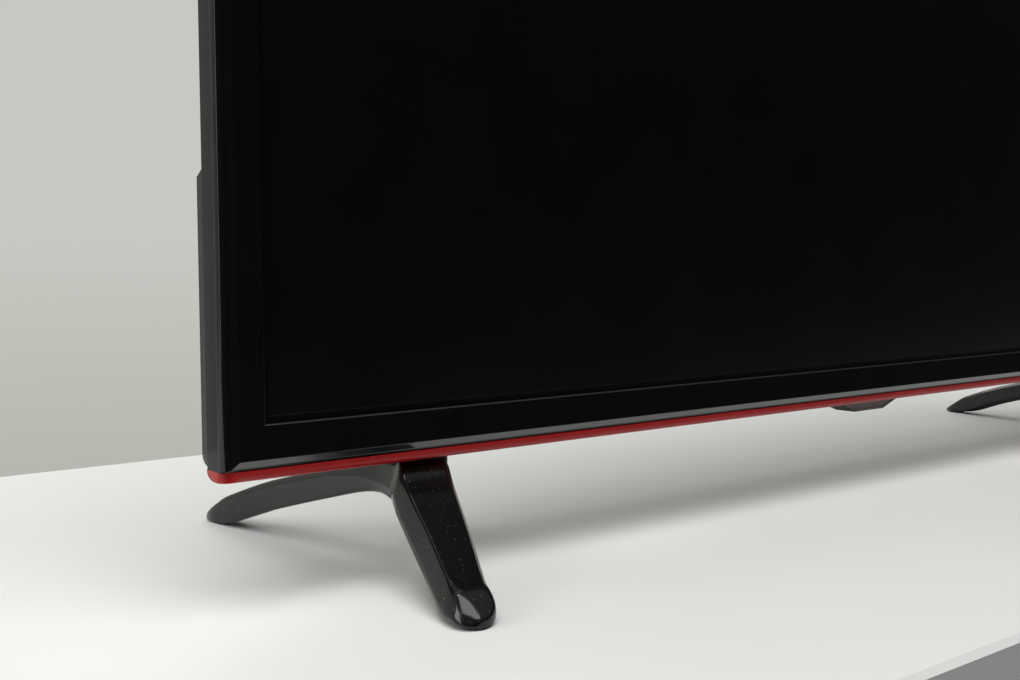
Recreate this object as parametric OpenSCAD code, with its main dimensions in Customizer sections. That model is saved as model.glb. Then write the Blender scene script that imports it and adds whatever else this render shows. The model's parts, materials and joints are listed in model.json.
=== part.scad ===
// Flat screen television on two splayed feet.
// X runs to the viewer's right, Y from the front to the back and Z up.
// The origin lies on the table, under the middle of the set.

/* [Picture] */
// Width of the picture
picture_w = 697.7; // [640:0.1:760]
// Height of the picture
picture_h = 392.3; // [370:0.1:430]

/* [Front frame] */
// Flat border at the sides and the top
side_flat = 9.2; // [8.5:0.1:14]
// Flat border under the picture
bottom_flat = 11.4; // [11:0.1:16]
// Width of the bevel round the border
bevel_w = 2.2; // [1.5:0.1:3]
// Depth of that bevel
bevel_d = 1.2; // [0.5:0.1:2]
// Radius of the outer edge at the sides and the top
edge_r = 3.25; // [2.5:0.05:5]
// Radius of the outer edge at the bottom
bottom_edge_r = 1; // [0.5:0.1:2]
// Depth of the frame from front to back
frame_depth = 13; // [12:0.1:16]
// Wall of the frame
frame_wall = 2; // [1.5:0.1:2.4]
// Thickness of the lip in front of the panel
lip_t = 1.8; // [1.4:0.1:2.5]
// Chamfer along the inner edge of the lip
lip_edge = 0.5; // [0.2:0.1:1]

/* [Bottom trim] */
// Height of the coloured bar under the frame
trim_h = 3.5; // [3:0.1:6]
// Height of the slope along the lower front edge of the bar
trim_edge = 1.9; // [0.5:0.1:2.5]
// Depth of that slope
trim_edge_d = 1.2; // [0.5:0.1:2.5]
// Depth of the curve along the lower rear edge of the bar
trim_turn_d = 5.6; // [2:0.1:8]
// Height of that curve
trim_turn_h = 3.1; // [1:0.1:3.4]
// How far the bar stands back from the front plane
trim_setback = 1.2; // [0:0.1:3]

/* [Sensor window] */
// Width of the sensor window where it meets the cover
pod_top_w = 61; // [50:1:80]
// Width of the sensor window at its foot
pod_bottom_w = 24.5; // [20:0.5:45]
// Drop of the sensor window below the cover
pod_h = 6.5; // [4:0.1:10]
// Depth of the sensor window
pod_d = 12; // [9:0.5:15]

/* [Panel and backlight] */
// Foam strip between lip and panel
gasket_t = 0.5; // [0.3:0.1:1]
// Thickness of the glass cell
cell_t = 1.4; // [1:0.1:2]
// Glass beyond the picture on each side
cell_margin = 5; // [4:0.1:5.2]
// Thickness of the ledge that carries the cell
ledge_t = 1.5; // [1:0.1:2]
// Wall of the plastic frame round the backlight
mid_wall = 1.2; // [0.8:0.1:1.4]
// Thickness of the prism sheet
prism_t = 0.25; // [0.2:0.05:0.5]
// Thickness of the diffuser sheet
diffuser_sheet_t = 0.2; // [0.15:0.05:0.5]
// Thickness of the diffuser plate
diffuser_plate_t = 1.2; // [1:0.1:2]
// Sheet steel of the back pan
pan_t = 0.7; // [0.5:0.1:1]
// Depth of the light chamber
chamber_d = 17.15; // [14:0.05:24]
// How far the chamber floor stands inside the picture's edge
floor_inset = 14; // [10:0.5:20]
// Thickness of the reflector sheet
reflector_t = 0.4; // [0.3:0.1:0.8]
// Thickness of a lamp bar
bar_t = 1; // [0.8:0.1:1.6]
// Width of a lamp bar
bar_w = 14; // [10:0.5:20]
// Lamps on one bar
lamps_per_bar = 7; // [5:1:9]
// Radius of a lamp's lens
lens_r = 8; // [6:0.5:9]
// Height of a lamp's lens
lens_h = 6; // [4:0.5:8]

/* [Boards] */
// Height of the standoffs that carry the boards
standoff_h = 8; // [7.5:0.5:10]
// Thickness of the boards
board_t = 1.6; // [1.2:0.1:2]
// Width of the main and the power board
board_w = 146; // [140:1:150]
// Height of the main and the power board
board_h = 142; // [135:1:150]
// Height of the main and the power board above the foot of the picture
board_z = 58; // [56:1:66]
// Room for parts behind the boards
parts_room = 25.5; // [24:0.5:32]

/* [Rear cover] */
// Wall of the cover
cover_wall = 2.2; // [1.8:0.1:2.6]
// How far the cover stands inside the outline of the frame
cover_inset = 1; // [0.5:0.1:2]
// Radius of the cover's lower corners
cover_corner_r = 8; // [5:0.5:12]
// How far the flat back stands inside the cover's outline
plateau_inset = 26; // [22:0.5:28]
// Room between the pan and the flat back
plateau_room = 4.1; // [3.5:0.1:6]
// Width of the raised housing at its root
housing_w = 604; // [600:1:608]
// How far the sides of the housing draw in up to its shoulder
housing_draft = 6; // [2:0.5:8]
// Slope from the shoulder of the housing to its rear face
shoulder_w = 32; // [20:1:36]
// Height of the housing at its root, above the cover's foot
housing_h = 268; // [262:1:275]
// Depth of that slope
shoulder_d = 16; // [12:0.5:18]
// Chamfer along the lower rear edge of the housing
housing_edge = 10; // [6:0.5:12]
// Depth of the two lower wings behind the frame
wing_d = 5.6; // [5:0.1:9]
// Height of the wings above the cover's foot
wing_h = 98; // [80:1:120]
// Height of the slope that ends a wing
wing_slope = 3.5; // [1:0.5:6]
// Chamfer along the lower edge of the wings
wing_edge = 4.2; // [2:0.1:5]

/* [Keys] */
// Pitch of the keys
key_pitch = 13; // [11.5:0.5:14]
// Width of a key
key_w = 9; // [7:0.5:10]
// Height of a key
key_h = 7; // [6:0.5:8]
// Travel of a key
key_travel = 0.8; // [0.4:0.1:1]
// How far a key stands proud
key_proud = 1; // [0.9:0.1:1.6]
// Rise of the key panel above the flat back
key_panel_rise = 3; // [2.5:0.1:4]

/* [Wall mount] */
// Distance between the wall mount holes, sideways
wall_mount_w = 200; // [200]
// Distance between the wall mount holes, upright
wall_mount_h = 100; // [100]
// Radius of a wall mount hole
wall_mount_r = 2; // [2]
// Depth of a wall mount hole
wall_mount_depth = 14; // [10:1:20]

/* [Feet] */
// Room between the table and the red bar
stand_h = 44.4; // [40:0.1:55]
// How far the middle of a foot's neck stands inside the frame's side
foot_inset = 82.5; // [78:0.5:84]
// Middle of the neck behind the front plane
neck_y = 24; // [22:0.5:26]
// Reach of a foot in front of its neck
front_reach = 81; // [65:0.5:95]
// Reach of a foot behind its neck
rear_reach = 127; // [110:0.5:150]
// How far the front tip splays outwards
front_splay = 23.5; // [10:0.5:30]
// How far the rear tip splays outwards
rear_splay = 19; // [10:0.5:30]
// Radius that rounds off a tip
tip_r = 8; // [5:0.5:10]
// How far the rubber pads stand out of a foot
pad_proud = 0.6; // [0.3:0.1:1]

/* [Hidden] */

$fn = 48;
overcut = 1;
// Thin plates that a smooth shell is drawn between
layer_t = 0.01;
// Room between pieces that lie beside each other, and round a screw in its hole
slack = 0.3;
screw_slack = 0.08;

// Outline of the frame, measured from the middle and the foot of the picture
half_w = picture_w / 2;
side_border = side_flat + bevel_w + edge_r;
bottom_border = bottom_flat + bevel_w + bottom_edge_r;
frame_x = half_w + side_border;
frame_bottom = -bottom_border;
frame_top = picture_h + side_border;
trim_bottom = frame_bottom - trim_h;
trim_turn_steps = 6;

// Depths of the stack, measured back from the front plane
cell_y = lip_t + gasket_t;
ledge_y = cell_y + cell_t;
prism_y = ledge_y + ledge_t;
diffuser_sheet_y = prism_y + prism_t;
diffuser_plate_y = diffuser_sheet_y + diffuser_sheet_t;
pan_y = diffuser_plate_y + diffuser_plate_t;
floor_y = pan_y + chamber_d;
pan_back = floor_y + pan_t;
board_y = pan_back + standoff_h;
board_back = board_y + board_t;

// Margins round the picture
sheet_margin = cell_margin - 0.2;
mid_inner = cell_margin + 0.6;
mid_outer = mid_inner + mid_wall;
pan_mouth = 1;

// Rear cover
plateau_y = pan_back + plateau_room + cover_wall;
housing_y = board_back + parts_room + cover_wall;
cover_x = frame_x - cover_inset;
cover_foot = trim_bottom;
cover_floor = cover_foot + cover_wall;
cover_top = frame_top - cover_inset;
wing_y = frame_depth + wing_d;
wing_top = cover_foot + wing_h;

// Screws that hold the cover to the frame
boss_r = 2.7;
boss_pilot_r = 1.4;
boss_inset = frame_wall + boss_r - 0.1;
screw_seat_y = frame_depth + 1.8;
screw_head_r = 2.8;
screw_head_h = 1.9;
screw_hole_r = 1.7;
cover_screw_spots = concat(
    [for (s = [-1, 1], z = [0.35, 0.85]) [s * (frame_x - boss_inset), picture_h * z]],
    [for (s = [-1, 0, 1]) [s * half_w * 0.72, frame_top - boss_inset]],
    [for (s = [-1, 1], x = [0.3, 0.93]) [s * half_w * x, frame_bottom + boss_inset]]
);

// Boards: the main board stands at -X, the power board mirrors it at +X
board_inner_x = wall_mount_w / 2 + 12;
board_outer_x = board_inner_x + board_w;
board_top = board_z + board_h;
board_hole_inset = 6;
board_hole_r = 1.7;
board_pilot_r = 1.2;
standoff_r = 3.4;
board_hole_spots = [
    for (s = [-1, 1], x = [board_inner_x + board_hole_inset, board_outer_x - board_hole_inset],
         z = [board_z + board_hole_inset, board_top - board_hole_inset]) [s * x, z]
];

// Recesses in the cover for plugs
side_recess_x = board_outer_x + 6;
side_recess_z = [board_z + 20, board_top - 8];
foot_recess_top = board_z - 4;
foot_recess_y = plateau_y + 2;
socket_recess_x = [-(board_inner_x + 69), -(board_inner_x + 3)];
mains_recess_x = [board_inner_x + 13, board_inner_x + 63];
socket_proud = 0.5;

// Sockets
hdmi_w = 15;
hdmi_h = 6;
hdmi_d = 11.5;
hdmi_z = [board_z + 60, board_z + 84];
usb_w = 14.4;
usb_h = 7;
usb_z = board_z + 106;
headphone_z = board_z + 38;
headphone_w = 9;
jack_y = board_back + 7;
jack_r = 4.2;
jack_bore_r = 1.7;
jack_drop = 5;
antenna_r = 4.6;
antenna_bore_r = 1.9;
antenna_drop = 7;
headphone_r = 3.6;
headphone_bore_r = 1.8;
jack_pitch = 12;
jack_block_w = jack_pitch - 0.4;
jack_x = -(board_inner_x + 16);
optical_x = -(board_inner_x + 51.2);
antenna_x = -(board_inner_x + 61);
optical_w = 9.4;
mains_x = (mains_recess_x[0] + mains_recess_x[1]) / 2;
mains_w = 22;
mains_h = 13;
mains_y = board_back + 8;

// Speakers
speaker_x = [board_outer_x - 64, board_outer_x - 8];
speaker_mid_x = (speaker_x[0] + speaker_x[1]) / 2;
speaker_y = [pan_back + 1.5, pan_back + 25.5];
speaker_mid_y = (speaker_y[0] + speaker_y[1]) / 2;
driver_z = cover_floor + slack;
driver_t = 2;
speaker_z = driver_z + driver_t;
speaker_h = 36;
magnet_r = 9;
magnet_h = 14;
ear_t = 3;
ear_z = speaker_z + 8;
peg_r = 1.9;
grommet_r = 3;
grommet_flange_r = 4;
grommet_flange_t = 2;

// Keys
key_x = cover_x - plateau_inset - 16.5;
key_names = ["power", "source", "menu", "channel_up", "channel_down", "volume_up", "volume_down"];
key_count = len(key_names);
key_mid_z = picture_h * 0.43;
key_panel_y = plateau_y + key_panel_rise;
key_panel_half_w = 11.5;
key_panel_half_h = key_pitch * key_count / 2 + 4;
key_r = 2.4;
key_flange = 0.9;
key_flange_t = 1.3;
key_hole_half_w = key_w / 2 + slack;
key_hole_half_h = key_h / 2 + slack;
key_back_y = key_panel_y - cover_wall - slack - key_flange_t;
key_board_t = 1.2;
switch_gap = key_travel + 0.1;
switch_half_w = 3;
switch_body_h = (key_back_y - switch_gap - pan_back - key_board_t) * 0.75;
function key_z(i) = key_mid_z + (key_count - 1 - 2 * i) * key_pitch / 2;

// Sensor window
pod_y = frame_depth + slack;
pod_plug_half_w = 12;
pod_plug_inset = 3;
ir_board_t = 1.2;

// Panel electronics
source_board_y = pan_y + 3.1;
source_board_t = 1.2;
source_board_w = 420;
source_board_z = [-(mid_outer + 0.2), 0.3];
film_t = 0.3;
film_w = 36;
film_count = 6;
film_pitch = source_board_w / film_count;
ribbon_t = 0.3;
ribbon_x = [-(board_outer_x - 13), -(board_outer_x - 43)];

// Wall mount posts
post_r = 5;
post_edge = 11.9;
post_mid_z = cover_foot + housing_h - housing_draft - shoulder_w - post_edge - wall_mount_h / 2;
post_spots = [
    for (s = [-1, 1], z = [-1, 1])
        [s * wall_mount_w / 2, post_mid_z + z * wall_mount_h / 2]
];

// Feet
foot_x = frame_x - foot_inset;
neck_half_w = 9.6;
neck_half_l = 17;
neck_r = 1.5;
neck_h = 9;
foot_base = pad_proud;
table_z = -(stand_h + trim_h + bottom_border);
rise = stand_h - foot_base;
foot_screw_y = [neck_y - 4.5, neck_y + 11];
foot_screw_r = 2;
foot_screw_head_r = 3.5;
foot_screw_head_h = 2.6;
foot_screw_hole_r = 2.3;
foot_screw_recess_r = 4.2;
foot_screw_seat = cover_foot - 6;
bracket_t = 2.5;
bracket_half_w = 12.4;
bracket_y = [frame_depth + 2.5, neck_y + 19];
bracket_top = 62;
nut_r = 4.4;
nut_h = 6;
pad_t = 1.6;
pad_half_w = 3.6;
pad_half_l = 5.5;

// Stations of a foot: [place along it, outward share, top share, underside share, width].
// The place runs from -1 at the front tip through 0 at the neck to 1 at the rear tip.
foot_stations = [
    [-1.00, 0.985, 0.125, 0.00, 17.0],
    [-0.90, 0.93, 0.232, 0.00, 17.0],
    [-0.81, 0.855, 0.29, 0.00, 18.2],
    [-0.57, 0.545, 0.53, 0.25, 21.0],
    [-0.31, 0.245, 0.80, 0.535, 24.2],
    [-0.14, 0.05, 0.955, 0.685, 24.0],
    [0.04, 0.045, 0.965, 0.695, 21.3],
    [0.28, 0.22, 0.765, 0.52, 17.2],
    [0.60, 0.53, 0.53, 0.255, 14.0],
    [0.83, 0.85, 0.305, 0.03, 11.5],
    [1.00, 1.07, 0.13, 0.00, 9.6]
];
foot_rings = 48;
outer_facet_w = 3.8;
outer_facet_h = 9;
outer_facet_share = 0.66;
inner_facet = 2.2;
lower_facet = 1.8;
rear_facet_share = 0.3;
least_tip = 0.16;
front_tip_l = 13;
front_tip_h = 0.4;
rear_tip_l = 17;
rear_tip_h = 0.15;
inner_lift_h = 1.7;
inner_lift_places = [-0.05, 0.85];
inner_lift_run = 0.14;

// Where the frame stands above the table, and behind the middle of the feet
picture_z = -table_z;
front_y = -(neck_y + (rear_reach - front_reach) / 2);

black = "#141415";
board_green = "#1d5a38";
steel = "#a9adb0";

// Places what is measured from the front plane and the foot of the picture
module in_set() {
    translate([0, front_y, picture_z]) children();
}

// Upright plate from y0 to y1, with its outline in X and Z
module upright(y0, y1) {
    translate([0, y1, 0]) rotate([90, 0, 0]) linear_extrude(y1 - y0) children();
}

// Bar along X from x0 to x1, with its outline in Y and Z
module along_x(x0, x1) {
    translate([x0, 0, 0]) rotate([90, 0, 90]) linear_extrude(x1 - x0) children();
}

// Box between two corners on each axis
module box(x, y, z) {
    translate([x[0], y[0], z[0]]) cube([x[1] - x[0], y[1] - y[0], z[1] - z[0]]);
}

// Round bar along Y
module rod_y(x, z, y0, y1, r) {
    translate([x, y1, z]) rotate([90, 0, 0]) cylinder(r = r, h = y1 - y0);
}

// Round bar along Z
module rod_z(x, y, z0, z1, r) {
    translate([x, y, z0]) cylinder(r = r, h = z1 - z0);
}

// Flat rectangle between its edges
module rectangle(x0, x1, z0, z1) {
    translate([x0, z0]) square([x1 - x0, z1 - z0]);
}

// Flat rectangle with round corners
module rounded(x0, x1, z0, z1, r) {
    rectangle(x0 + r, x1 - r, z0, z1);
    rectangle(x0, x1, z0 + r, z1 - r);
    for (x = [x0 + r, x1 - r], z = [z0 + r, z1 - r]) translate([x, z]) circle(r);
}

// Flat rectangle that stands m outside the picture
module around(m) {
    rectangle(-half_w - m, half_w + m, -m, picture_h + m);
}

// Flat ring between two margins round the picture
module ring(inner, outer) {
    difference() {
        around(outer);
        around(inner);
    }
}

// Block whose four sides slope from margin m0 at y0 to margin m1 at y1
module sloped_block(m0, y0, m1, y1) {
    corners = [
        for (s = [[m0, y0], [m1, y1]])
            each [
                [-half_w - s[0], s[1], -s[0]],
                [half_w + s[0], s[1], -s[0]],
                [half_w + s[0], s[1], picture_h + s[0]],
                [-half_w - s[0], s[1], picture_h + s[0]]
            ]
    ];
    sides = [[0, 3, 2, 1], [4, 5, 6, 7], [0, 1, 5, 4], [7, 6, 2, 3], [2, 6, 5, 1], [7, 3, 0, 4]];
    polyhedron(corners, sides);
}

// Section of a frame bar: outwards from the picture, and back from the front plane
function bar_section(flat, r) = [
    [0, lip_t],
    [0, lip_edge],
    [lip_edge, 0],
    [flat, 0],
    each [for (a = [-90 : 15 : 0]) [flat + bevel_w + r * cos(a), bevel_d + r + r * sin(a)]],
    [flat + bevel_w + r, frame_depth],
    [flat + bevel_w + r - frame_wall, frame_depth],
    [flat + bevel_w + r - frame_wall, lip_t]
];

// The mitre at a lower corner, from the picture's corner to the frame's
lower_mitre = [
    [half_w, 0],
    [half_w + side_flat, -bottom_flat],
    [half_w + side_flat + bevel_w, -bottom_flat - bevel_w],
    [frame_x, frame_bottom]
];
upper_mitre = [[half_w, picture_h], [frame_x, frame_top]];
function mirrored(points) = [for (p = points) [-p[0], p[1]]];
function reversed(points) = [for (i = [len(points) - 1 : -1 : 0]) points[i]];

module bottom_bar() {
    intersection() {
        translate([-frame_x, 0, 0])
            rotate([0, 90, 0]) linear_extrude(2 * frame_x)
                polygon(bar_section(bottom_flat, bottom_edge_r));
        upright(0, frame_depth) polygon(concat(lower_mitre, reversed(mirrored(lower_mitre))));
    }
}

module top_bar() {
    intersection() {
        translate([frame_x, 0, picture_h])
            rotate([0, -90, 0]) linear_extrude(2 * frame_x) polygon(bar_section(side_flat, edge_r));
        upright(0, frame_depth) polygon(concat(upper_mitre, reversed(mirrored(upper_mitre))));
    }
}

module right_bar() {
    intersection() {
        translate([half_w, 0, frame_bottom])
            linear_extrude(frame_top - frame_bottom) polygon(bar_section(side_flat, edge_r));
        upright(0, frame_depth) polygon(concat(lower_mitre, reversed(upper_mitre)));
    }
}

module front_bezel() {
    color(black) in_set() {
        difference() {
            union() {
                bottom_bar();
                top_bar();
                right_bar();
                mirror([1, 0, 0]) right_bar();
                for (p = cover_screw_spots) rod_y(p[0], p[1], lip_t - 0.5, frame_depth, boss_r);
            }
            for (p = cover_screw_spots)
                rod_y(p[0], p[1], lip_t + 1.5, frame_depth + overcut, boss_pilot_r);
        }
    }
}

// Section of the red bar: back from the front plane, and up
function trim_section() = concat(
    [
        [frame_depth, frame_bottom],
        [trim_setback, frame_bottom],
        [trim_setback, trim_bottom + trim_edge],
        [trim_setback + trim_edge_d, trim_bottom]
    ],
    [
        for (i = [0 : trim_turn_steps])
            let (a = 90 * i / trim_turn_steps)
            [frame_depth - trim_turn_d * (1 - sin(a)), trim_bottom + trim_turn_h * (1 - cos(a))]
    ]
);

// Outline of the bar from above: its front corners follow the frame's
module trim_plan() {
    corner_x = frame_x - edge_r;
    corner_y = trim_setback + bevel_d + edge_r;
    polygon([
        [bevel_w - corner_x, trim_setback],
        [corner_x - bevel_w, trim_setback],
        [corner_x, trim_setback + bevel_d],
        [corner_x, corner_y],
        [frame_x, corner_y],
        [frame_x, frame_depth],
        [-frame_x, frame_depth],
        [-frame_x, corner_y],
        [-corner_x, corner_y],
        [-corner_x, trim_setback + bevel_d]
    ]);
    for (s = [-1, 1]) translate([s * corner_x, corner_y]) circle(edge_r);
}

module bottom_trim() {
    color("#b01218") in_set() intersection() {
        along_x(-frame_x, frame_x) polygon(trim_section());
        translate([0, 0, trim_bottom]) linear_extrude(trim_h) trim_plan();
    }
}

module panel_gasket() {
    color("#2a2a2c") in_set() upright(lip_t, cell_y) ring(1, cell_margin - 0.5);
}

module lcd_panel() {
    color("#0a0a0c") in_set() upright(cell_y, ledge_y) around(cell_margin);
}

// Slots in the plastic frame that the films pass through
module film_slots(grow) {
    for (i = [0 : film_count - 1]) {
        x = (i - (film_count - 1) / 2) * film_pitch;
        box([x - film_w / 2 - grow, x + film_w / 2 + grow], [cell_y, prism_y + overcut],
            [-mid_inner - 0.05, -cell_margin]);
    }
}

module mid_frame() {
    color("#e8e8e4") in_set() {
        difference() {
            union() {
                upright(cell_y + 0.1, pan_y + pan_t + 0.5) ring(mid_inner, mid_outer);
                upright(ledge_y, prism_y) ring(1.5, mid_inner + 0.2);
            }
            film_slots(0.5);
        }
    }
}

module prism_sheet() {
    color("#d9dde0") in_set() upright(prism_y, diffuser_sheet_y) around(sheet_margin);
}

module diffuser_sheet() {
    color("#eceeee") in_set() upright(diffuser_sheet_y, diffuser_plate_y) around(sheet_margin);
}

module diffuser_plate() {
    color("#f4f5f3") in_set() upright(diffuser_plate_y, pan_y) around(sheet_margin);
}

// Lamps lie in three rows, evenly over the picture
bar_y = floor_y - bar_t;
reflector_y = bar_y - 0.1 - reflector_t;
lamp_pitch = (picture_w - 2 * floor_inset) / lamps_per_bar;
function lamp_x(i) = (i - (lamps_per_bar - 1) / 2) * lamp_pitch;
function lamp_z(row) = picture_h * (2 * row + 1) / 6;
support_spots = [
    for (s = [-1, 1], z = [1, 2]) [s * lamp_pitch, picture_h * z / 3]
];
support_stem_r = 2;

module reflector_sheet() {
    slope = (pan_mouth + floor_inset) / chamber_d;
    back = reflector_y + reflector_t;
    mouth = pan_mouth - 0.2;
    back_margin = mouth - slope * (back - pan_y) - 0.1;
    fold = reflector_t * 1.4;
    color("#f7f7f5") in_set() {
        difference() {
            sloped_block(mouth, pan_y + 0.05, back_margin, back);
            sloped_block(mouth - fold + slope * overcut, pan_y + 0.05 - overcut,
                         back_margin - fold, reflector_y);
            for (row = [0 : 2], i = [0 : lamps_per_bar - 1])
                rod_y(lamp_x(i), lamp_z(row), reflector_y - overcut, back + overcut, lens_r + slack);
            for (p = support_spots)
                rod_y(p[0], p[1], reflector_y - overcut, back + overcut, support_stem_r + slack);
        }
    }
}

module led_bar(row) {
    length = lamp_pitch * (lamps_per_bar - 1) + 3 * lens_r;
    z = lamp_z(row);
    color("#f2f2ee") in_set()
        upright(bar_y, floor_y) rounded(-length / 2, length / 2, z - bar_w / 2, z + bar_w / 2, 2);
}

module led_bar_top() { led_bar(2); }
module led_bar_middle() { led_bar(1); }
module led_bar_bottom() { led_bar(0); }

// A lens is a low dome with a dimple over its lamp
module led_lenses() {
    color("#e9eef2", 0.8) in_set()
        for (row = [0 : 2], i = [0 : lamps_per_bar - 1])
            translate([lamp_x(i), bar_y, lamp_z(row)]) rotate([90, 0, 0])
                rotate_extrude() polygon(concat(
                    [[0, 0], [lens_r, 0]],
                    [for (a = [10 : 16 : 74]) [lens_r * cos(a), lens_h * sin(a)]],
                    [[0, lens_h * 0.8]]
                ));
}

module diffuser_posts() {
    color("#f0f0ee") in_set()
        for (p = support_spots) translate([p[0], floor_y, p[1]]) rotate([90, 0, 0])
            rotate_extrude() polygon([
                [0, 0],
                [support_stem_r, 0],
                [support_stem_r, floor_y - reflector_y],
                [5, floor_y - reflector_y],
                [1.2, chamber_d - slack],
                [0, chamber_d - slack]
            ]);
}

module back_pan() {
    slope = (pan_mouth + floor_inset) / chamber_d;
    outer_mouth = pan_mouth + pan_t;
    color(steel) in_set() {
        difference() {
            union() {
                upright(pan_y, pan_y + pan_t) around(sheet_margin);
                sloped_block(outer_mouth, pan_y, outer_mouth - slope * (chamber_d + pan_t), pan_back);
                for (p = board_hole_spots) rod_y(p[0], p[1], pan_back - 0.2, board_y, standoff_r);
                // Pressed stiffening ribs above the boards
                for (z = [0.68, 0.84])
                    upright(pan_back - 0.2, pan_back + 1.2)
                        rounded(-half_w * 0.75, half_w * 0.75, picture_h * z - 5, picture_h * z + 5, 4.5);
            }
            sloped_block(pan_mouth + slope * overcut, pan_y - overcut, -floor_inset, floor_y);
            for (p = board_hole_spots)
                rod_y(p[0], p[1], pan_back + 1, board_y + overcut, board_pilot_r);
        }
    }
}

module source_board() {
    color(board_green) in_set()
        upright(source_board_y, source_board_y + source_board_t)
            rectangle(-source_board_w / 2, source_board_w / 2, source_board_z[0], source_board_z[1]);
}

module source_films() {
    color("#6b4a1e") in_set()
        for (i = [0 : film_count - 1]) {
            x = (i - (film_count - 1) / 2) * film_pitch;
            box([x - film_w / 2, x + film_w / 2], [cell_y + 0.3, source_board_y],
                [-cell_margin - 0.1 - film_t, -cell_margin - 0.1]);
        }
}

// Flat cable from the panel's board, under the pan and up its back to the main board
module panel_ribbon() {
    start = source_board_y + source_board_t + 0.1;
    rise_y = pan_back + 0.2;
    plug_y = board_back + 1;
    path = [
        [start, -5],
        [start, -2],
        [rise_y, floor_inset - 3.5],
        [rise_y, board_z - 16],
        [plug_y, board_z - 5],
        [plug_y, board_z + 5.9]
    ];
    back = [for (p = reversed(path)) [p[0] + ribbon_t * 1.3, p[1] - ribbon_t * 0.4]];
    color("#dcdcd6") in_set() along_x(ribbon_x[0], ribbon_x[1]) polygon(concat(path, back));
}

// Bare board on the four standoffs of its half of the pan
module board_plate(side) {
    difference() {
        upright(board_y, board_back)
            rounded(min(side * board_inner_x, side * board_outer_x),
                    max(side * board_inner_x, side * board_outer_x), board_z, board_top, 2);
        for (p = board_hole_spots)
            if (p[0] * side > 0) rod_y(p[0], p[1], board_y - overcut, board_back + overcut, board_hole_r);
    }
}

// Chips and connectors lie on the back of a board
module on_board(x, z, w, h, d) {
    box([x - w / 2, x + w / 2], [board_back - 0.1, board_back + d], [z - h / 2, z + h / 2]);
}

heatsink_x = -(board_inner_x + 62);
heatsink_z = board_z + 84;
heatsink_w = 46;
chip_w = 24;
chip_t = 2.2;
harness_up = 92;
harness_in = 8;
harness_z = board_z + harness_up;
harness_x = board_inner_x + harness_in;
harness_socket_d = 6;
harness_socket_w = 6;
harness_socket_h = 26;
small_capacitor_up = 128;

module main_board() {
    color(board_green) in_set() {
        board_plate(-1);
        on_board(heatsink_x, heatsink_z, chip_w, chip_w, chip_t);
        for (i = [0 : 1]) on_board(-(board_inner_x + 24), board_z + 60 + 16 * i, 13, 9, 1.2);
        on_board((ribbon_x[0] + ribbon_x[1]) / 2, board_z + 8.5, 34, 5, 2.6);
        on_board(-harness_x, harness_z, harness_socket_w, harness_socket_h, harness_socket_d);
        for (i = [0 : 4])
            small_capacitor(-(board_inner_x + 30 + 12 * i), board_z + small_capacitor_up, 3, 6);
    }
}

// Small upright capacitor on the back of a board
module small_capacitor(x, z, r, d) {
    rod_y(x, z, board_back - 0.1, board_back + d, r);
}

module soc_heatsink() {
    fins = 9;
    fin_t = 1.4;
    base_y = board_back + chip_t;
    pitch = (heatsink_w - fin_t) / (fins - 1);
    color("#8d9297") in_set() {
        box([heatsink_x - heatsink_w / 2, heatsink_x + heatsink_w / 2], [base_y, base_y + 3],
            [heatsink_z - heatsink_w / 2, heatsink_z + heatsink_w / 2]);
        for (i = [0 : fins - 1])
            translate([heatsink_x - heatsink_w / 2 + i * pitch, 0, 0])
                box([0, fin_t], [base_y + 2.9, base_y + 13],
                    [heatsink_z - heatsink_w / 2, heatsink_z + heatsink_w / 2]);
    }
}

tuner_half_w = 11;
tuner_z = [board_z + 9, board_z + 46];
tuner_d = 12;

module tuner_can() {
    color("#b9bcbf") in_set() difference() {
        box([antenna_x - tuner_half_w, antenna_x + tuner_half_w], [board_back, board_back + tuner_d],
            tuner_z);
        // Tuning slots in the lid
        for (i = [-1 : 1])
            box([antenna_x - 6, antenna_x + 6],
                [board_back + tuner_d - 0.6, board_back + tuner_d + overcut],
                [tuner_z[0] + 18 + i * 8, tuner_z[0] + 20 + i * 8]);
    }
}

side_face_x = -side_recess_x - socket_proud;

module hdmi_sockets() {
    color("#c3c6c8") in_set()
        for (z = hdmi_z) difference() {
            box([side_face_x, side_face_x + hdmi_d], [board_back, board_back + hdmi_h],
                [z - hdmi_w / 2, z + hdmi_w / 2]);
            // Mouth with its two lower corners cut off, and the tongue left in its middle
            difference() {
                translate([side_face_x - overcut, 0, 0]) rotate([90, 0, 90]) linear_extrude(8 + overcut)
                    polygon([
                        [board_back + 0.6, z - hdmi_w / 2 + 2],
                        [board_back + 0.6, z + hdmi_w / 2 - 2],
                        [board_back + 2.2, z + hdmi_w / 2 - 0.5],
                        [board_back + hdmi_h - 0.6, z + hdmi_w / 2 - 0.5],
                        [board_back + hdmi_h - 0.6, z - hdmi_w / 2 + 0.5],
                        [board_back + 2.2, z - hdmi_w / 2 + 0.5]
                    ]);
                box([side_face_x + 1, side_face_x + 9], [board_back + 2.6, board_back + 3.6],
                    [z - 5, z + 5]);
            }
        }
}

module usb_socket() {
    color("#c3c6c8") in_set() difference() {
        box([side_face_x, side_face_x + 14], [board_back, board_back + usb_h],
            [usb_z - usb_w / 2, usb_z + usb_w / 2]);
        difference() {
            box([side_face_x - overcut, side_face_x + 10], [board_back + 0.8, board_back + usb_h - 0.8],
                [usb_z - usb_w / 2 + 0.8, usb_z + usb_w / 2 - 0.8]);
            box([side_face_x + 1, side_face_x + 11], [board_back + 3.6, board_back + 5.6],
                [usb_z - 5.4, usb_z + 5.4]);
        }
    }
}

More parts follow.
